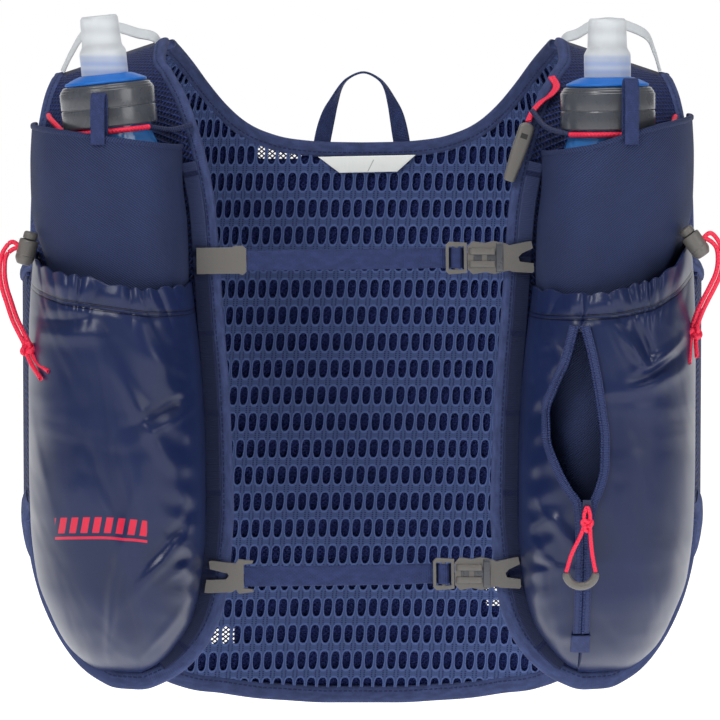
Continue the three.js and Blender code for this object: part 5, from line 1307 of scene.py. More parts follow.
# Flasks: cap middle, body middle, drop of the cap's foot and lean
FLASKS = {"left": (0.716, 0.696, 0.141, 0.105), "right": (0.7, 0.696, 0.146, 0.012)}
FLASK_FORWARD = -1.12 * HALF_DEPTH
FLASK_LENGTH, NECK_SHARE = 185.0, 0.14
CAP_RADIUS, CAP_WALL = 22.3, 2.6
# Columns: drop as a share of the flask's length, half width, half depth
FLASK_SHAPE = np.array([
    (-0.09, 19.1, 19.1), (0.0197, 19.1, 19.1), (0.045, 20.5, 19.0), (0.09, 22.6, 19.0),
    (0.16, 24.2, 19.0), (0.35, 26.0, 19.0), (0.65, 24.2, 19.0), (0.82, 21.8, 17.1),
    (0.93, 17.2, 10.5), (1.0, 7.8, 2.3),
])


def cap_place(side, word):
    """Function that puts a place round a cap's axis into the frame."""
    cap_x, _, drop, lean = FLASKS[word]

    def place(a, b, z):
        return np.stack([
            cap_x * HALF_WIDTH * side + a * math.cos(lean) - z * math.sin(lean),
            FLASK_FORWARD + b,
            a * math.sin(lean) + z * math.cos(lean) - drop * LENGTH,
        ], -1)

    return place


def flask_place(side, word):
    """The same for a flask, whose body hangs straight and turned a little below its neck."""
    cap_x, body_x, drop, lean = FLASKS[word]

    def place(a, b, z):
        below = np.clip((-z - CAP_WALL * 1.5) / (NECK_SHARE * FLASK_LENGTH), 0, 1)
        turn, tip = side * 0.3 * below, lean * (1 - below)
        across = a * np.cos(turn) - b * np.sin(turn)
        middle = (cap_x + (body_x - cap_x) * below) * HALF_WIDTH
        return np.stack([
            side * middle + across * np.cos(tip) - z * np.sin(tip),
            FLASK_FORWARD + a * np.sin(turn) + b * np.cos(turn),
            across * np.sin(tip) + z * np.cos(tip) - drop * LENGTH,
        ], -1)

    return place


class VEST_OT_back(bpy.types.Operator):
    """Back: a knitted face with oval holes over a dark net, each a lifted copy of the torso's own surface"""

    bl_idname = "vest.back"
    bl_label = "Back"

    def execute(self, context):
        face = context.scene.vest_sizes.face_thickness / MM
        rows, cols = 110, 150
        for name, low, high, material in (
            ("back_face", 0.0, face, "mesh_face"), ("back_net", SPACER - 0.7, SPACER, "mesh_net"),
        ):
            inner, outer = back_grid(rows, cols, low), back_grid(rows, cols, high)
            across, down = arc(inner)
            flat = np.stack([across - across[:, cols // 2, None], -inner[..., 2], 0 * down], -1)
            sewn(wall(name, outer, inner, flat), material, "spacer_mesh", "back_panel", inner)
        return {"FINISHED"}


class VEST_OT_panels(bpy.types.Operator):
    """Shoulder straps and sides: net walls lifted off the torso between their edge lines"""

    bl_idname = "vest.panels"
    bl_label = "Straps and sides"

    def execute(self, context):
        for word, side in SIDES:
            for part, grid, rows, cols, thick, slot in (
                ("front", front_grid, 150, 60, SPACER, "spacer_mesh"),
                ("side", side_grid, 70, 90, SIDE_CLOTH, "strap_net"),
            ):
                outer, inner = grid(side, rows, cols, thick), grid(side, rows, cols, 0.0)
                sewn(wall(f"{word}_{part}", outer, inner), "strap_net", slot, f"{word}_{part}_panel", outer)
        return {"FINISHED"}


class VEST_OT_bindings(bpy.types.Operator):
    """Bindings: a rounded section rolled over the cloth's edge, carried along every edge line"""

    bl_idname = "vest.bindings"
    bl_label = "Bindings"

    def execute(self, context):
        sizes = context.scene.vest_sizes
        thick = sizes.binding / MM
        back = back_grid(60, 241, SPACER / 2)
        share = np.abs(back[0, :, 0]) / HALF_WIDTH
        sides = {word: side_grid(side, 30, 40, SIDE_CLOTH / 2) for word, side in SIDES}
        for word, side in SIDES:
            front = front_grid(side, 240, 50, SPACER / 2)
            drops = front_drops(240)
            outer_points, outer_away = edge(front, "last")
            low = drops >= 0.768
            down = edge(front, "first")
            up = (outer_points[low][::-1], outer_away[low][::-1])
            base = edge(front, "bottom")
            width = [(0, 4.2), (0.5, 4.2), (0.75, 6.8), (1, 6.8)]
            obj = rolled(f"{word}_edge_roll", join(down, base, up), width, thick, 420)
            finish_piece(obj, "binding", "binding", [f"{word}_edge_binding"])
            high = drops <= 0.34
            top = edge(back, "top")
            arm = (share >= 0.885) & (np.sign(back[0, :, 0]) == side)
            arm_back = (top[0][arm], top[1][arm])
            arm_back = arm_back if side < 0 else back_to_front(arm_back)
            armhole = join((outer_points[high], outer_away[high]), edge(sides[word], "top"), arm_back)
            obj = rolled(f"{word}_armhole_roll", armhole, 4.6, thick, 300, True)
            finish_piece(obj, "binding", "binding", [f"{word}_armhole_binding"])
        neck = share <= 0.6
        top = edge(back, "top")
        obj = rolled("neck_roll", (top[0][neck], top[1][neck]), 5.8, thick, 260)
        finish_piece(obj, "binding", "binding", ["neck_binding"])
        end = back_to_front(edge(sides["right"], "bottom"))
        hem = join(edge(sides["left"], "bottom"), edge(back, "bottom"), end)
        finish_piece(rolled("hem_roll", hem, 6.8, thick, 520), "binding", "binding", ["hem_binding"])
        return {"FINISHED"}


class VEST_OT_flask_pockets(bpy.types.Operator):
    """Flask pockets: stretch mesh arched over each flask, a superellipse across by the table down"""

    bl_idname = "vest.flask_pockets"
    bl_label = "Flask pockets"

    def execute(self, context):
        share, down = np.meshgrid(arch_share(np.linspace(0, 1, 90)), eased_rows(110, 0.3))
        for word, _ in SIDES:
            pocket = POCKETS[word, "flask"]
            outer, inner = pocket.point(share, down, 0.0), pocket.point(share, down, POCKET_CLOTH)
            obj = wall(f"{word}_flask_sleeve", outer, inner)
            sewn(obj, "stretch", "stretch_mesh", f"{word}_flask_pocket", outer)
            top = pocket.point(arch_share(np.linspace(0, 1, 160)), np.zeros(160), POCKET_CLOTH / 2)
            up = np.broadcast_to([0.0, 0.0, 1.0], top.shape)
            hem = rolled(f"{word}_flask_hem", (top, up), 0.6, 2.6, 200)
            finish_piece(hem, "stretch", "stretch_mesh", [f"{word}_flask_pocket"])
        return {"FINISHED"}


class VEST_OT_lower_pockets(bpy.types.Operator):
    """Lower pockets: nylon arched over the front with gathers, a channel and folds, the right one split"""

    bl_idname = "vest.lower_pockets"
    bl_label = "Lower pockets"

    def execute(self, context):
        down = eased_rows(190, 0.5)
        for word, _ in SIDES:
            pocket = POCKETS[word, "lower"]
            if word == "left":
                share, level_down = np.meshgrid(arch_share(np.linspace(0, 1, 250)), down)
                gap = None
            else:
                share, level_down, gap = self.split(pocket, down)
            outer = pocket.point(share, level_down, 0.0)
            inner = pocket.point(share, level_down, POCKET_CLOTH)
            depth = level_down * (pocket.end - pocket.start) * LENGTH
            flat = np.stack([outer[..., 0], outer[..., 2], depth], -1)
            obj = wall(f"{word}_lower_cloth", outer, inner, flat, gap)
            sewn(obj, f"nylon_{word}", "ripstop_nylon", f"{word}_lower_pocket", outer, "gathered")
        return {"FINISHED"}

    def split(self, pocket, down):
        """Shares whose two middle columns run along the edges of the zip's opening."""
        drop = pocket.start + (pocket.end - pocket.start) * down
        low, high = pocket.edges(drop, 0.0)
        first, last = ZIP_OPENING[0, 0], ZIP_OPENING[-1, 0]
        inside = (drop >= first) & (drop <= last)
        below, above = np.clip((drop - last) / ZIP_EASE, 0, 1), np.clip((first - drop) / ZIP_EASE, 0, 1)
        shut_low = ZIP_BELOW + (ZIP_MIDDLE - ZIP_BELOW) * below
        middle = np.where(drop > last, shut_low, ZIP_ABOVE + (ZIP_MIDDLE - ZIP_ABOVE) * above)
        undone = [cubic(ZIP_OPENING[:, 0], ZIP_OPENING[:, k], drop) for k in (1, 2)]
        left, right = (np.where(inside, line, middle) for line in undone)
        s_left = (left * HALF_WIDTH - low) / (high - low)
        s_right = (right * HALF_WIDTH - low) / (high - low)
        half = arch_share(np.linspace(0, 0.5, 120)) * 2
        share = np.concatenate([half * s_left[:, None], 1 - half[::-1] * (1 - s_right[:, None])], 1)
        rows = np.nonzero(inside)[0]
        return share, np.broadcast_to(down[:, None], share.shape), (rows[0], rows[-1], len(half) - 1)


class VEST_OT_flasks(bpy.types.Operator):
    """Flasks: bodies, caps, collars and bite valves, each a profile turned round an axis"""

    bl_idname = "vest.flasks"
    bl_label = "Flasks"

    def execute(self, context):
        levels = np.linspace(FLASK_SHAPE[0, 0], 1, 60)
        wide = cubic(FLASK_SHAPE[:, 0], FLASK_SHAPE[:, 1], levels)
        deep = cubic(FLASK_SHAPE[:, 0], FLASK_SHAPE[:, 2], levels)
        body = [(-FLASK_LENGTH * t, w, d) for t, w, d in zip(levels, wide, deep)]
        body = [(16.8, 0.02, 0.02), *body, (-FLASK_LENGTH - 1, 0.02, 0.02)]
        r = CAP_RADIUS
        cap = bevelled([
            (20, 0.02), (20, r - 2.4), (19.6, r - 1.6), (18.6, r - 1.2), (18.3, r - 0.6), (17.4, r - 0.5),
            (17.1, r), (9.4, r), (9.0, r - 0.45), (8.5, r), (0.6, r), (0, r - 0.6), (0, r - CAP_WALL),
            (17.4, r - CAP_WALL), (17.4, 0.02),
        ], 0.35, 3)
        collar = [(20.3, 0.02), (20.3, 19.4), (21.5, 19.4), (23.8, 14.2), (24.6, 11.6), (24.6, 0.02)]
        collar = bevelled(collar, 0.8, 5)
        foot = 21.9
        valve = bevelled([(foot, 0.02), (foot, 10.6), (foot + 1.2, 11), (foot + 13.5, 11), (foot + 16.5, 9.3),
                          (foot + 28.7, 9.0), (foot + 30.3, 8.2), (foot + 30.3, 6.4), (foot + 29.8, 6.0),
                          (foot + 29.8, 2.2), (foot + 28.9, 1.8), (foot + 28.9, 0.02)], 0.9, 6)
        for word, side in SIDES:
            upright, hung = cap_place(side, word), flask_place(side, word)
            obj = turned(f"{word}_soft_flask", body, 56, hung)
            finish_piece(obj, "blue_film", "blue_film", [f"{word}_flask"])
            for part, profile, count, material, node in (
                ("cap_shell", cap, 96, "smoke_plastic", "flask_cap"),
                ("collar", collar, 72, "blue_plastic", "flask_collar"),
                ("valve", valve, 64, "clear_silicone", "bite_valve"),
            ):
                obj = turned(f"{word}_{part}", profile, count, upright)
                finish_piece(obj, material, material, [f"{word}_{node}"], f"{word}_cap")
        return {"FINISHED"}


class VEST_OT_webbing(bpy.types.Operator):
    """Webbing: flat sections swept along the edge tapes, sternum straps, pull loops and hanging loop"""

    bl_idname = "vest.webbing"
    bl_label = "Webbing"

    def execute(self, context):
        for word, side in SIDES:
            self.edge_tape(word, side)
            self.pull_loop(word, side)
        for word, drop, start, end, at in (
            ("upper", 0.349, -0.33, 0.24, 0.27), ("lower", 0.84, -0.339, 0.2, 0.235),
        ):
            self.sternum(word, drop, start, end, at)
        share = np.array([-1, -0.9, -0.68, -0.32, 0.04, 0.4, 0.72, 0.9, 1.0])
        rise = np.array([0, 0.36, 0.68, 0.94, 1, 0.93, 0.68, 0.36, 0])
        neck = -BACK_PANEL[0, 1] * LENGTH
        path = spline(np.stack([share * 22, 96.85 + rise * 2, neck - 8.6 + rise * 50.6], -1), 90)
        lift = np.sin(np.linspace(0, math.pi, 90))[:, None] ** 3
        lead = np.concatenate([1 - lift, lift * 1.2, 0 * lift], 1)
        finish_piece(sweep("hanging_loop", path, lead, slab(8.6, 1.2)), "webbing", "webbing", ["hang_loop"])
        return {"FINISHED"}

    def edge_tape(self, word, side):
        front = front_grid(side, 240, 50, SPACER / 2)
        drops = front_drops(240)
        points, away = edge(front, "first")
        keep = (drops >= 0.196) & (drops <= 0.98)
        points = points[keep] - away[keep] * 4.4
        run = running(points)
        puff = 0.8 * np.abs(np.sin(math.pi * (run / TACK_PITCH - 0.15))) ** 0.8
        path = resample(skin(points[:, 0], points[:, 2], -1, 3.95 + puff), 260)
        steps, old = np.linspace(0, 1, 260), np.linspace(0, 1, keep.sum())
        lead = smoothed(np.stack([np.interp(steps, old, away[keep, k]) for k in range(3)], -1), 8, False)
        obj = sweep(f"{word}_chain_tape", path, lead, slab(7.6, 1.2))
        finish_piece(obj, "taped", "webbing", [f"{word}_edge_tape"])

    def pull_loop(self, word, side):
        x, top = {"left": (0.742, 0.09), "right": (0.757, 0.068)}[word]
        pocket = POCKETS[word, "flask"]
        here = pocket.place(x, 0.182, 0)
        out = np.cross(pocket.place(x + 0.004, 0.182, 0) - here, pocket.place(x, 0.186, 0) - here)
        out = unit(np.array([out[0], out[1], 0.0]))
        out = -out if out[1] > 0 else out
        foot = here + out * 1.05
        peak, spread = -top * LENGTH, 4.5
        turn = np.linspace(0, math.pi, 9)
        leg = np.array([*foot[:2], peak - spread])
        arch = leg[None] - out[None] * ((1 - np.cos(turn)) * spread / 2)[:, None]
        arch[:, 2] = peak - spread + np.sin(turn) * spread
        end = np.array([*(foot - out * spread)[:2], foot[2] + 5.6])
        path = spline(np.concatenate([[foot + [0, 0, 4.5]], [foot + [0, 0, 8]], arch, [end]]), 70)
        lead = np.array([-out[1], out[0], 0.0])
        obj = sweep(f"{word}_pull_loop", path, lead, slab(7, 1.2))
        finish_piece(obj, "webbing", "webbing", [f"{word}_flask_loop"])

    def sternum(self, word, drop, start, end, at):
        y = float(skin(0.43 * HALF_WIDTH, -drop * LENGTH, -1, 6.1)[1])
        rise = 0.004

        def along(share, forward=0.0):
            part = (share - start) / (end - start)
            return np.array([share * HALF_WIDTH, y + forward, -(drop - rise * part) * LENGTH])

        reach, bar = 2.0, 1.4
        lap = (10 - 3 * bar) / 2 * 0.17
        middle = along(at)
        steps = [(-7, reach * 0.8), (-5, reach), (-5 + bar + lap, reach), (-bar / 2 - lap, -reach),
                 (bar / 2 + lap, -reach), (5 - bar - lap, reach), (5 - bar * 0.2, reach)]
        sag = np.linspace(0, 0.78, 9)
        points = [along(start + (at - start) * t, -0.9 * math.sin(math.pi * t / 0.9)) for t in sag]
        points += [middle + np.array([a, b, 0.0]) for a, b in steps]
        path = spline(points, 200)
        obj = sweep(f"{word}_strap", path, (0.0, 0.0, 1.0), slab(9.6, 1.0))
        finish_piece(obj, "webbing", "webbing", [f"{word}_sternum_strap"])


class VEST_OT_bands(bpy.types.Operator):
    """Shoulder bands and neck label: thin flat sections and a thin bent sheet"""

    bl_idname = "vest.bands"
    bl_label = "Bands and label"

    def execute(self, context):
        routes = {
            "left": [(0.89, 0.06), (0.861, 0.028), (0.828, 0.001), (0.778, -0.015), (0.724, -0.011),
                     (0.668, -0.002), (0.615, 0.006), (0.598, 0.018)],
            "right": [(0.885, 0.059), (0.868, 0.028), (0.846, 0.003), (0.795, -0.012), (0.736, -0.019),
                      (0.683, -0.014), (0.636, 0.0), (0.606, 0.006), (0.59, 0.018)],
        }
        for word, side in SIDES:
            route = np.array(routes[word])
            x = side * route[:, 0] * HALF_WIDTH
            points = np.stack([x, 0 * x - 6, -route[:, 1] * LENGTH], -1)
            obj = sweep(f"{word}_band", spline(points, 90), (0.0, 0.85, 0.5), slab(9, 1.0))
            finish_piece(obj, "pale_band", "pale_band", [f"{word}_shoulder_band"])
        top = -BACK_PANEL[0, 1] * LENGTH - 0.6
        t, s = np.meshgrid(np.linspace(0, 1, 14), np.linspace(-1, 1, 60), indexing="ij")
        half = np.where(s < 0, 25 - 11 * t, 25 - 9.5 * t)
        x = 2.5 + s * half
        z = top - 8.4 * t + 0.02 * x
        y = body_depth(x, z) - 1.0 - 0.5 * np.sin(math.pi * t)
        face = np.stack([x, y, z], -1)
        obj = wall("blank_label", face, face - np.array([0, 0.6, 0]))
        finish_piece(obj, "white_print", "white_print", ["neck_label"])
        return {"FINISHED"}


# Neck cords: outer end, between, past, inner end. Columns: share across, drop share, lift off the panel
NECK_CORDS = {
    "left": ((0.918, 0.128, 2), (0.888, 0.136, 26), (0.545, 0.146, 17), (0.49, 0.14, 3)),
    "right": ((0.918, 0.13, 2), (0.88, 0.142, 26), (0.53, 0.144, 20), (0.488, 0.118, 5.8)),
}
# Pull cords from the lock to the knot, then the two tails. Columns: shares of half width, depth and length
PULL_CORDS = {
    "left": ((0.998, 1.0, 0.325), (1.022, 1.01, 0.336), (1.031, 1.03, 0.363), (1.025, 1.05, 0.388),
             (1.01, 1.07, 0.413), (0.992, 1.09, 0.44), (0.973, 1.11, 0.46), (0.959, 1.13, 0.474),
             (0.949, 1.15, 0.49)),
    "right": ((0.985, 1.16, 0.309), (1.012, 1.16, 0.322), (1.021, 1.15, 0.345), (1.016, 1.14, 0.366),
              (1.0, 1.14, 0.386), (0.98, 1.14, 0.407), (0.962, 1.14, 0.428), (0.95, 1.14, 0.448),
              (0.946, 1.14, 0.466)),
}
CORD_TAILS = {
    "left": ((0.91, 1.34, 0.525), (0.885, 1.39, 0.513)),
    "right": ((0.955, 1.17, 0.496), (0.93, 1.22, 0.504)),
}
# Cord locks: shares of half width, half depth and length, and the tilt
LOCKS = {"left": (0.963, 1.0, 0.336, 0.26), "right": (0.953, 1.16, 0.323, 0.62)}


def shared(side, rows):
    """Points from rows of shares of the half width, the half depth and the length."""
    rows = np.array(rows, float)
    return np.stack([side * rows[:, 0] * HALF_WIDTH, -rows[:, 1] * HALF_DEPTH, -rows[:, 2] * LENGTH], -1)


class VEST_OT_cords(bpy.types.Operator):
    """Cords: tubes along the routes of the neck cords and the pull cords, with knots as trefoil curves"""

    bl_idname = "vest.cords"
    bl_label = "Cords"

    def execute(self, context):
        sizes = context.scene.vest_sizes
        for word, side in SIDES:
            self.neck(word, side, sizes.elastic / MM)
            self.pull(word, side, sizes.cord / MM)
        return {"FINISHED"}

    def neck(self, word, side, diameter):
        upright = cap_place(side, word)
        radius = CAP_RADIUS - CAP_WALL + 2.6 / 2 + GAP

        def around(degrees, away=0.0):
            angle = math.radians(degrees)
            reach = radius + away
            return upright(side * math.cos(angle) * reach, math.sin(angle) * reach, -GAP * 2 - 1.3)

        outer, between, past, inner = [
            on_body(side * xs, drop, SPACER + lift) for xs, drop, lift in NECK_CORDS[word]
        ]
        joint = around(-147, 0.6)
        navy = spline([joint, past, inner], 50)
        navy = tube(f"{word}_navy_end", navy, diameter, sides=12)
        finish_piece(navy, "navy_cord", "navy_cord", [f"{word}_neck_cord_navy"])
        points = [outer, between, *[around(t) for t in (6, -26, -58, -90, -118)], joint]
        cord_piece(f"{word}_red_elastic", points, diameter, "red_cord", [f"{word}_neck_cord_red"], outer,
                   "object", "taut", [navy])

    def pull(self, word, side, diameter):
        x, y, drop, tilt = LOCKS[word]
        centre = shared(side, [(x, y, drop)])[0]
        axis = np.array([side * math.sin(tilt), 0.0, -math.cos(tilt)])
        bend = centre + axis * (12 * (0.26 - 0.5) + 3.3)
        route = shared(side, PULL_CORDS[word])
        along = unit(np.gradient(route, axis=0))
        beside = unit(np.stack([along[:, 2], 0 * along[:, 0], -along[:, 0]], -1))
        width = np.full(len(route), diameter * 0.53)
        width[0] = 1.9
        tails = shared(side, CORD_TAILS[word])
        knot_at, lead = (route[-1] + route[-2]) / 2, unit(route[-1] - route[-2])
        flat = unit(np.array([lead[2], 0, -lead[0]]))
        turns = trefoil(knot_at, flat, lead, (1.0, 0.95, 1.4), 120)
        knot = tube(f"{word}_knot", turns, diameter * 1.3, True, 12)
        finish_piece(knot, "red_cord", "red_cord", [f"{word}_cord_knot"])
        for k, (sign, tail) in enumerate(((-side, tails[0]), (side, tails[1]))):
            strand = route + beside * (sign * width)[:, None]
            cord_piece(f"{word}_pull_cord_{'ab'[k]}", [bend, *strand, tail], diameter, "red_cord",
                       [f"{word}_pull_cord"], bend, "knot", "loose", [knot] if k == 0 else ())


class VEST_OT_zip(bpy.types.Operator):
    """Zip: two tapes along the opening's edges, ringed tubes as teeth, pull cord, grip and end patch"""

    bl_idname = "vest.zip"
    bl_label = "Zip"

    def execute(self, context):
        sizes = context.scene.vest_sizes
        pocket = POCKETS["right", "lower"]
        for word, column, side in (("left", 1, -1), ("right", 2, 1)):
            low = ZIP_OPENING[-1, 0]
            shut_drops = low + (ZIP_END - low) * np.array([0.25, 0.5, 0.75, 1])
            drops = np.concatenate([ZIP_OPENING[:, 0], shut_drops])
            for name, beside, lift, shut, count in (
                ("tape", 0.56 * ZIP_TAPE, 1.4, 1.95, 180), ("teeth", 0.1, 1.75, 0.75, 900),
            ):
                open_shares = ZIP_OPENING[:, column] + side * beside / HALF_WIDTH
                shares = np.concatenate([open_shares, np.full(4, ZIP_MIDDLE + side * shut / HALF_WIDTH)])
                t = np.linspace(drops[0], drops[-1], count)
                x = smoothed(cubic(drops, shares, t), count // 30, False)
                path = pocket.place(x, t, lift)
                lead = unit(pocket.place(x + 0.004, t, lift) - path)
                if name == "tape":
                    obj = sweep(f"zip_side_{word}", path, lead, slab(3.8, 0.9))
                    finish_piece(obj, "zip_tape", "webbing", [f"zip_tape_{word}"])
                else:
                    wave = 0.72 + 0.28 * np.sin(2 * math.pi * running(path) / (sizes.tooth / MM) + side)
                    section = ring(0.8, 0.7, 8)[None] * wave[:, None, None]
                    obj = sweep(f"zip_teeth_{word}", path, lead, section)
                    finish_piece(obj, "zip_tape", "webbing", [f"zip_tape_{word}"])
        slider = box_middle("zip_slider")
        y = slider[1] - 1.1 - GAP - 1.1
        grip = np.array([0.613 * HALF_WIDTH, y, -0.812 * LENGTH])
        reach = (17.4 - 3.8) / 2
        angle = np.linspace(math.pi, 2 * math.pi, 40)
        bow = grip + np.stack([np.cos(angle) * reach, 0 * angle, np.sin(angle) * reach * 0.9], -1)
        scale = np.interp(np.arange(40), (0, 1, 3, 36, 38, 39), (0.7, 0.92, 1, 1, 0.92, 0.7))
        section = ring(1.9, 1.9, 16)[None] * scale[:, None, None]
        obj = sweep("grip_bow", bow, (0.0, 1.0, 0.0), section)
        finish_piece(obj, "grey_plastic", "grey_plastic", ["zip_grip"])
        thin = 1.87
        top = np.array([slider[0], y, slider[2]])
        legs = [grip + (-reach, 0, 0.4), grip + (-reach * 0.7, 0, reach * 1.1), top + (-thin * 0.7, 0, -6.7),
                top + (-thin * 0.65, 0, -2.2), top + (0, 0, thin * 0.4), top + (thin * 0.65, 0, -2.2),
                top + (thin * 0.7, 0, -6.7), grip + (reach * 0.8, 0, reach * 1.1), grip + (reach, 0, 0.4)]
        flat, lead = np.array([1.0, 0.0, 0.0]), np.array([0.0, 0.0, 1.0])
        wrap = trefoil(top + (0, 0, -7.5), flat, lead, (0.8, 1.0, 1.0), 90)
        knot = finish_piece(tube("zip_knot", wrap, thin, True), "red_cord", "red_cord", ["zip_cord"])
        cord_piece("zip_pull", legs, thin, "red_cord", ["zip_cord"], legs[0], "object", "hanging", [knot])
        drops, cols = ZIP_END + np.linspace(0.004, 0.036, 12), np.linspace(-1.15, 1.15, 16)
        drops, cols = np.meshgrid(drops, cols, indexing="ij")
        shares = ZIP_MIDDLE + cols * ZIP_TAPE * 1.1 / HALF_WIDTH
        outer, inner = pocket.place(shares, drops, 2.0), pocket.place(shares, drops, 0.9)
        finish_piece(wall("end_patch", outer, inner), "webbing", "ripstop_nylon", ["zip_end_patch"])
        return {"FINISHED"}


def box_middle(node):
    """Middle of a solid's box, in millimetres."""
    low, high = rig.box(node)
    return (np.array(low) + np.array(high)) / 2 / MM


class VEST_OT_whistle(bpy.types.Operator):
    """Whistle: a swept rounded body with a mouth slot, on a thin red ribbon"""

    bl_idname = "vest.whistle"
    bl_label = "Whistle"

    def execute(self, context):
        rows = [(0.548, 0.066, 1), (0.562, 0.08, 1.4), (0.545, 0.094, 1.6), (0.515, 0.105, 1.8),
                (0.492, 0.118, 2), (0.476, 0.134, 5)]
        path = spline([on_body(xs, drop, SPACER + GAP + lift) for xs, drop, lift in rows], 80)
        share = np.linspace(0, 1, 80)
        lead = np.stack([1 + 0 * share, 0.3 - share, 0.25 + 0 * share], -1)
        obj = sweep("ribbon", path, lead, slab(3.4, 0.8))
        finish_piece(obj, "red_cord", "red_cord", ["whistle_ribbon"])
        tilt, length_down = 0.33, 29
        down = np.array([-math.sin(tilt), 0.0, -math.cos(tilt)])
        start = path[-1] + np.array([0, -1.5, -0.8])
        steps = [np.linspace(0, 0.1, 12), np.linspace(0.12, 0.9, 30), np.linspace(0.91, 1, 12)]
        steps = np.concatenate(steps)
        at = [0, 0.03, 0.08, 0.3, 0.93, 0.975, 1]
        wide = cubic(at, [0.28, 0.75, 0.98, 1, 0.76, 0.7, 0.5], steps) * 3.7
        deep = cubic(at, [0.3, 0.8, 1, 1, 0.8, 0.72, 0.5], steps) * 2.5
        base = ring(1.0, 1.0, 24, 3.2)
        section = np.stack([base[None, :, 0] * wide[:, None], base[None, :, 1] * deep[:, None]], -1)
        across = (-down[2], 0.0, down[0])
        obj = sweep("whistle_body", start + down * (steps * length_down)[:, None], across, section)
        finish_piece(obj, "grey_plastic", "grey_plastic", ["whistle"])
        mouth = start + down * 6.5 + np.array([0, -2.45, 0])
        path = mouth + down * np.linspace(-1.2, 1.2, 8)[:, None]
        slot = sweep("whistle_mouth", path, across, slab(3.2, 0.35, 16))
        finish_piece(slot, "dark_hole", "grey_plastic", ["whistle"])
        return {"FINISHED"}


HARDWARE = ("upper_ladder_frame", "upper_buckle", "upper_strap_clip", "lower_ladder_frame", "lower_buckle",
            "lower_strap_clip", "zip_slider")


class VEST_OT_locks(bpy.types.Operator):
    """Cord locks: turned barrels with a bore and a rounded foot, and their turned plungers"""

    bl_idname = "vest.locks"
    bl_label = "Cord locks"

    def execute(self, context):
        for word, side in SIDES:
            x, y, drop, tilt = LOCKS[word]
            centre = shared(side, [(x, y, drop)])[0]
            flat = np.array([math.cos(tilt), 0.0, side * math.sin(tilt)])
            axis = np.array([side * math.sin(tilt), 0.0, -math.cos(tilt)])

            def place(a, b, along):
                deep = np.array([0.0, 1.0, 0.0])
                return centre + a[..., None] * flat + b[..., None] * deep + along[..., None] * axis

            barrel = bevelled([
                (-3.3, 0.02), (-3.3, 3.75), (-6, 3.75), (-6, 4.3), (-5.4, 4.6), (1.2, 4.6), (1.5, 4.35),
                (1.8, 4.6), (3.6, 4.5), (6, 3.1), (6, 0.02),
            ], 0.7, 5)
            plunger = bevelled([(-9.9, 0.02), (-9.9, 2.7), (-9.1, 3.4), (-6.3, 3.4), (-6.3, 0.02)], 0.5, 4)
            obj = turned(f"{word}_lock", barrel, 40, place)
            finish_piece(obj, "grey_plastic", "grey_plastic", [f"{word}_lock_barrel"])
            obj = turned(f"{word}_press", plunger, 36, place)
            finish_piece(obj, "grey_plastic", "grey_plastic", [f"{word}_lock_plunger"], f"{word}_plunger")
        return {"FINISHED"}


class VEST_OT_hardware(bpy.types.Operator):
    """Hardware: the buckles, clips, ladder frames and slider with rounded edges, and the buckles' relief"""

    bl_idname = "vest.hardware"
    bl_label = "Hardware"

    def execute(self, context):
        for name in HARDWARE:
            obj = frame["nodes"][name]
            obj.data.materials.clear()
            obj.data.materials.append(look("navy_cord" if name == "zip_slider" else "grey_plastic"))
            bevel = obj.modifiers.new("Rounded edges", "BEVEL")
            bevel.width = 0.0006
            bevel.segments = 3
            bevel.limit_method = "ANGLE"
            bevel.angle_limit = math.radians(28)
            bevel.harden_normals = False
        for word in ("upper", "lower"):
            self.relief(word)
        return {"FINISHED"}

    def relief(self, word):
        """Filled middle of a buckle and a dark band, both in darker smoke plastic as painted shade of its recessed
        windows and groove, with two raised bars, laid on its own front plane.
        """
        node = frame["nodes"][f"{word}_buckle"]
        points = np.empty(len(node.data.vertices) * 3)
        node.data.vertices.foreach_get("co", points)
        turn = np.array(node.matrix_world)
        points = (points.reshape(-1, 3) @ turn[:3, :3].T + turn[:3, 3]) / MM
        slope, level_y = np.polyfit(points[:, 0], points[:, 1], 1)
        rest = points[:, 1] - slope * points[:, 0] - level_y
        low, size = points.min(0), np.ptp(points, axis=0)
        middle = low[2] + size[2] / 2

        def strip(name, start, end, rise, width, thick, lift, material):
            x = low[0] + np.linspace(start, end, 8) * size[0]
            y = level_y + slope * x + rest.min() * lift
            path = np.stack([x, y, np.full(8, middle + rise * size[2])], -1)
            obj = sweep(f"{word}_buckle_{name}", path, (0.0, 0.0, 1.0), slab(width * size[2], thick))
            finish_piece(obj, material, "grey_plastic")

        # painted shade: the fill and the band are darker smoke plastic standing for the shade in the windows and the
        # groove
        strip("fill", 0.06, 0.56, 0.0, 0.56, 1.2, 0.0, "smoke_plastic")
        strip("bar_high", 0.02, 0.41, 0.19, 0.19, 1.0, 1.2, "grey_plastic")
        strip("bar_low", 0.02, 0.41, -0.19, 0.19, 1.0, 1.2, "grey_plastic")
        strip("band", 0.43, 0.53, 0.0, 0.86, 0.8, 1.1, "smoke_plastic")


def area_light(name, place, aim, size, power):
    """Square white light turned towards a point."""
    light = bpy.data.lights.new(name, "AREA")
    light.size, light.energy = size, power
    obj = bpy.data.objects.new(name, light)
    bpy.context.scene.collection.objects.link(obj)
    obj.location = place
    obj.rotation_euler = (Vector(aim) - Vector(place)).to_track_quat("-Z", "Y").to_euler()


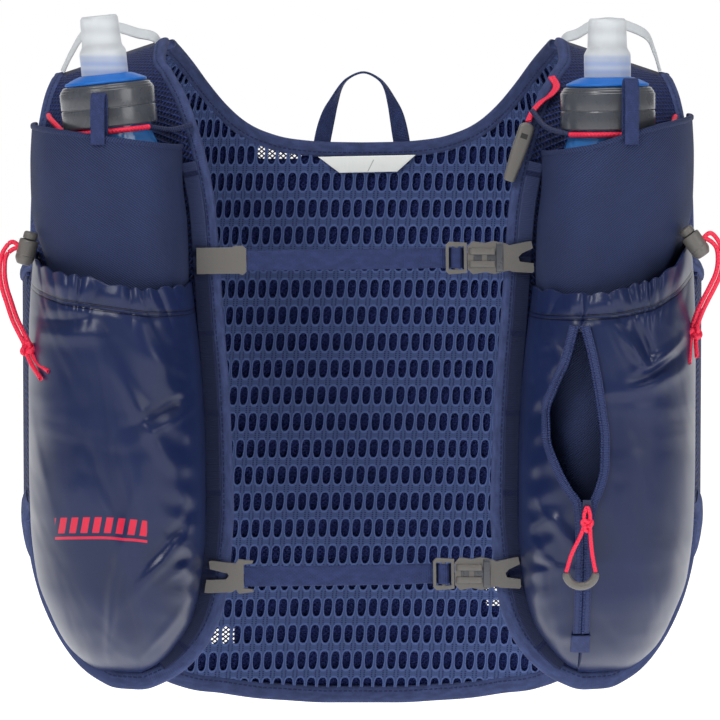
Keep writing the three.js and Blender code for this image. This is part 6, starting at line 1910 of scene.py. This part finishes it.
class VEST_OT_stage(bpy.types.Operator):
    """Stage: white surroundings, a pale floor, soft lights and the camera at the photo's angle"""

    bl_idname = "vest.stage"
    bl_label = "Stage"

    def execute(self, context):
        sizes = context.scene.vest_sizes
        scene = bpy.context.scene
        world = bpy.data.worlds.new("white")
        scene.world = world
        world.use_nodes = True
        background = world.node_tree.nodes["Background"]
        background.inputs["Color"].default_value = (1, 1, 1, 1)
        nodes, links = world.node_tree.nodes, world.node_tree.links
        direction, split = nodes.new("ShaderNodeTexCoord"), nodes.new("ShaderNodeSeparateXYZ")
        ease = nodes.new("ShaderNodeMapRange")
        ease.interpolation_type = "SMOOTHSTEP"
        for socket, value in zip(ease.inputs[1:5], (0.72, 0.96, 0.2, 1.0)):
            socket.default_value = value
        links.new(direction.outputs["Generated"], split.inputs[0])
        links.new(split.outputs[1], ease.inputs[0])
        links.new(ease.outputs[0], background.inputs["Strength"])
        plane = np.array([(-6, -6), (6, -6), (6, 6), (-6, 6)], float) * 1000
        points = np.concatenate([plane, np.full((4, 1), -sizes.floor / MM)], 1)
        floor = put("floor", points, [[0, 1, 2, 3]], smooth=False)
        m = Look("floor", Base_Color=(0.9, 0.9, 0.9), Roughness=0.9, Emission_Color=(1, 1, 1, 1),
                 Emission_Strength=0.85)
        m.bump(m.grain(0.02), 0.0001)
        floor.data.materials.append(m.material)
        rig.stage(floor)
        middle = (0.0, -0.02, -0.17)
        area_light("key", (-0.9, -1.4, 1.1), middle, 0.7, 19)
        area_light("fill", (1.3, -1.3, 0.35), middle, 0.9, 8)
        area_light("top", (0.1, -0.2, 1.5), middle, 0.8, 10)
        camera = bpy.data.cameras.new("camera")
        camera.lens, camera.sensor_width = sizes.lens, 36
        camera.clip_end = 50
        obj = bpy.data.objects.new("camera", camera)
        scene.collection.objects.link(obj)
        tilt = math.radians(4)
        target = Vector((-0.001, -0.020, -0.159))
        back = Vector((0, -math.cos(tilt), math.sin(tilt))) * sizes.camera
        obj.location = target + back
        obj.rotation_euler = (math.radians(90) - tilt, 0, 0)
        scene.camera = obj
        scene.view_settings.view_transform = "Standard"
        return {"FINISHED"}


PIECES = (
    VEST_OT_back, VEST_OT_panels, VEST_OT_bindings, VEST_OT_flask_pockets, VEST_OT_lower_pockets,
    VEST_OT_flasks, VEST_OT_webbing, VEST_OT_bands, VEST_OT_cords, VEST_OT_zip, VEST_OT_whistle,
    VEST_OT_locks, VEST_OT_hardware, VEST_OT_stage,
)


class VEST_PT_panel(bpy.types.Panel):
    """Sidebar panel with the vest's operators, sizes and colours"""

    bl_idname = "VEST_PT_panel"
    bl_label = "Running vest"
    bl_space_type = "VIEW_3D"
    bl_region_type = "UI"
    bl_category = "Vest"

    def draw(self, context):
        for piece in PIECES:
            self.layout.operator(piece.bl_idname)
        for group in (context.scene.vest_sizes, context.scene.vest_colours):
            for name in group.__annotations__:
                self.layout.prop(group, name)


CLASSES = (VestColours, VestSizes, *PIECES, VEST_PT_panel)


def register():
    for item in CLASSES:
        bpy.utils.register_class(item)
    bpy.types.Scene.vest_colours = PointerProperty(type=VestColours)
    bpy.types.Scene.vest_sizes = PointerProperty(type=VestSizes)


def unregister():
    del bpy.types.Scene.vest_sizes
    del bpy.types.Scene.vest_colours
    for item in reversed(CLASSES):
        bpy.utils.unregister_class(item)


def main():
    register()
    for piece in PIECES:
        group, name = piece.bl_idname.split(".")
        if getattr(getattr(bpy.ops, group), name)() != {"FINISHED"}:
            raise RuntimeError(f"{piece.bl_idname} did not finish")
    seen = [list(corner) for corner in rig.bounds()]
    with open("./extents.json", "w") as out:
        json.dump({"cad": CAD_BOX, "scene": seen}, out)


if __name__ == "__main__":
    main()
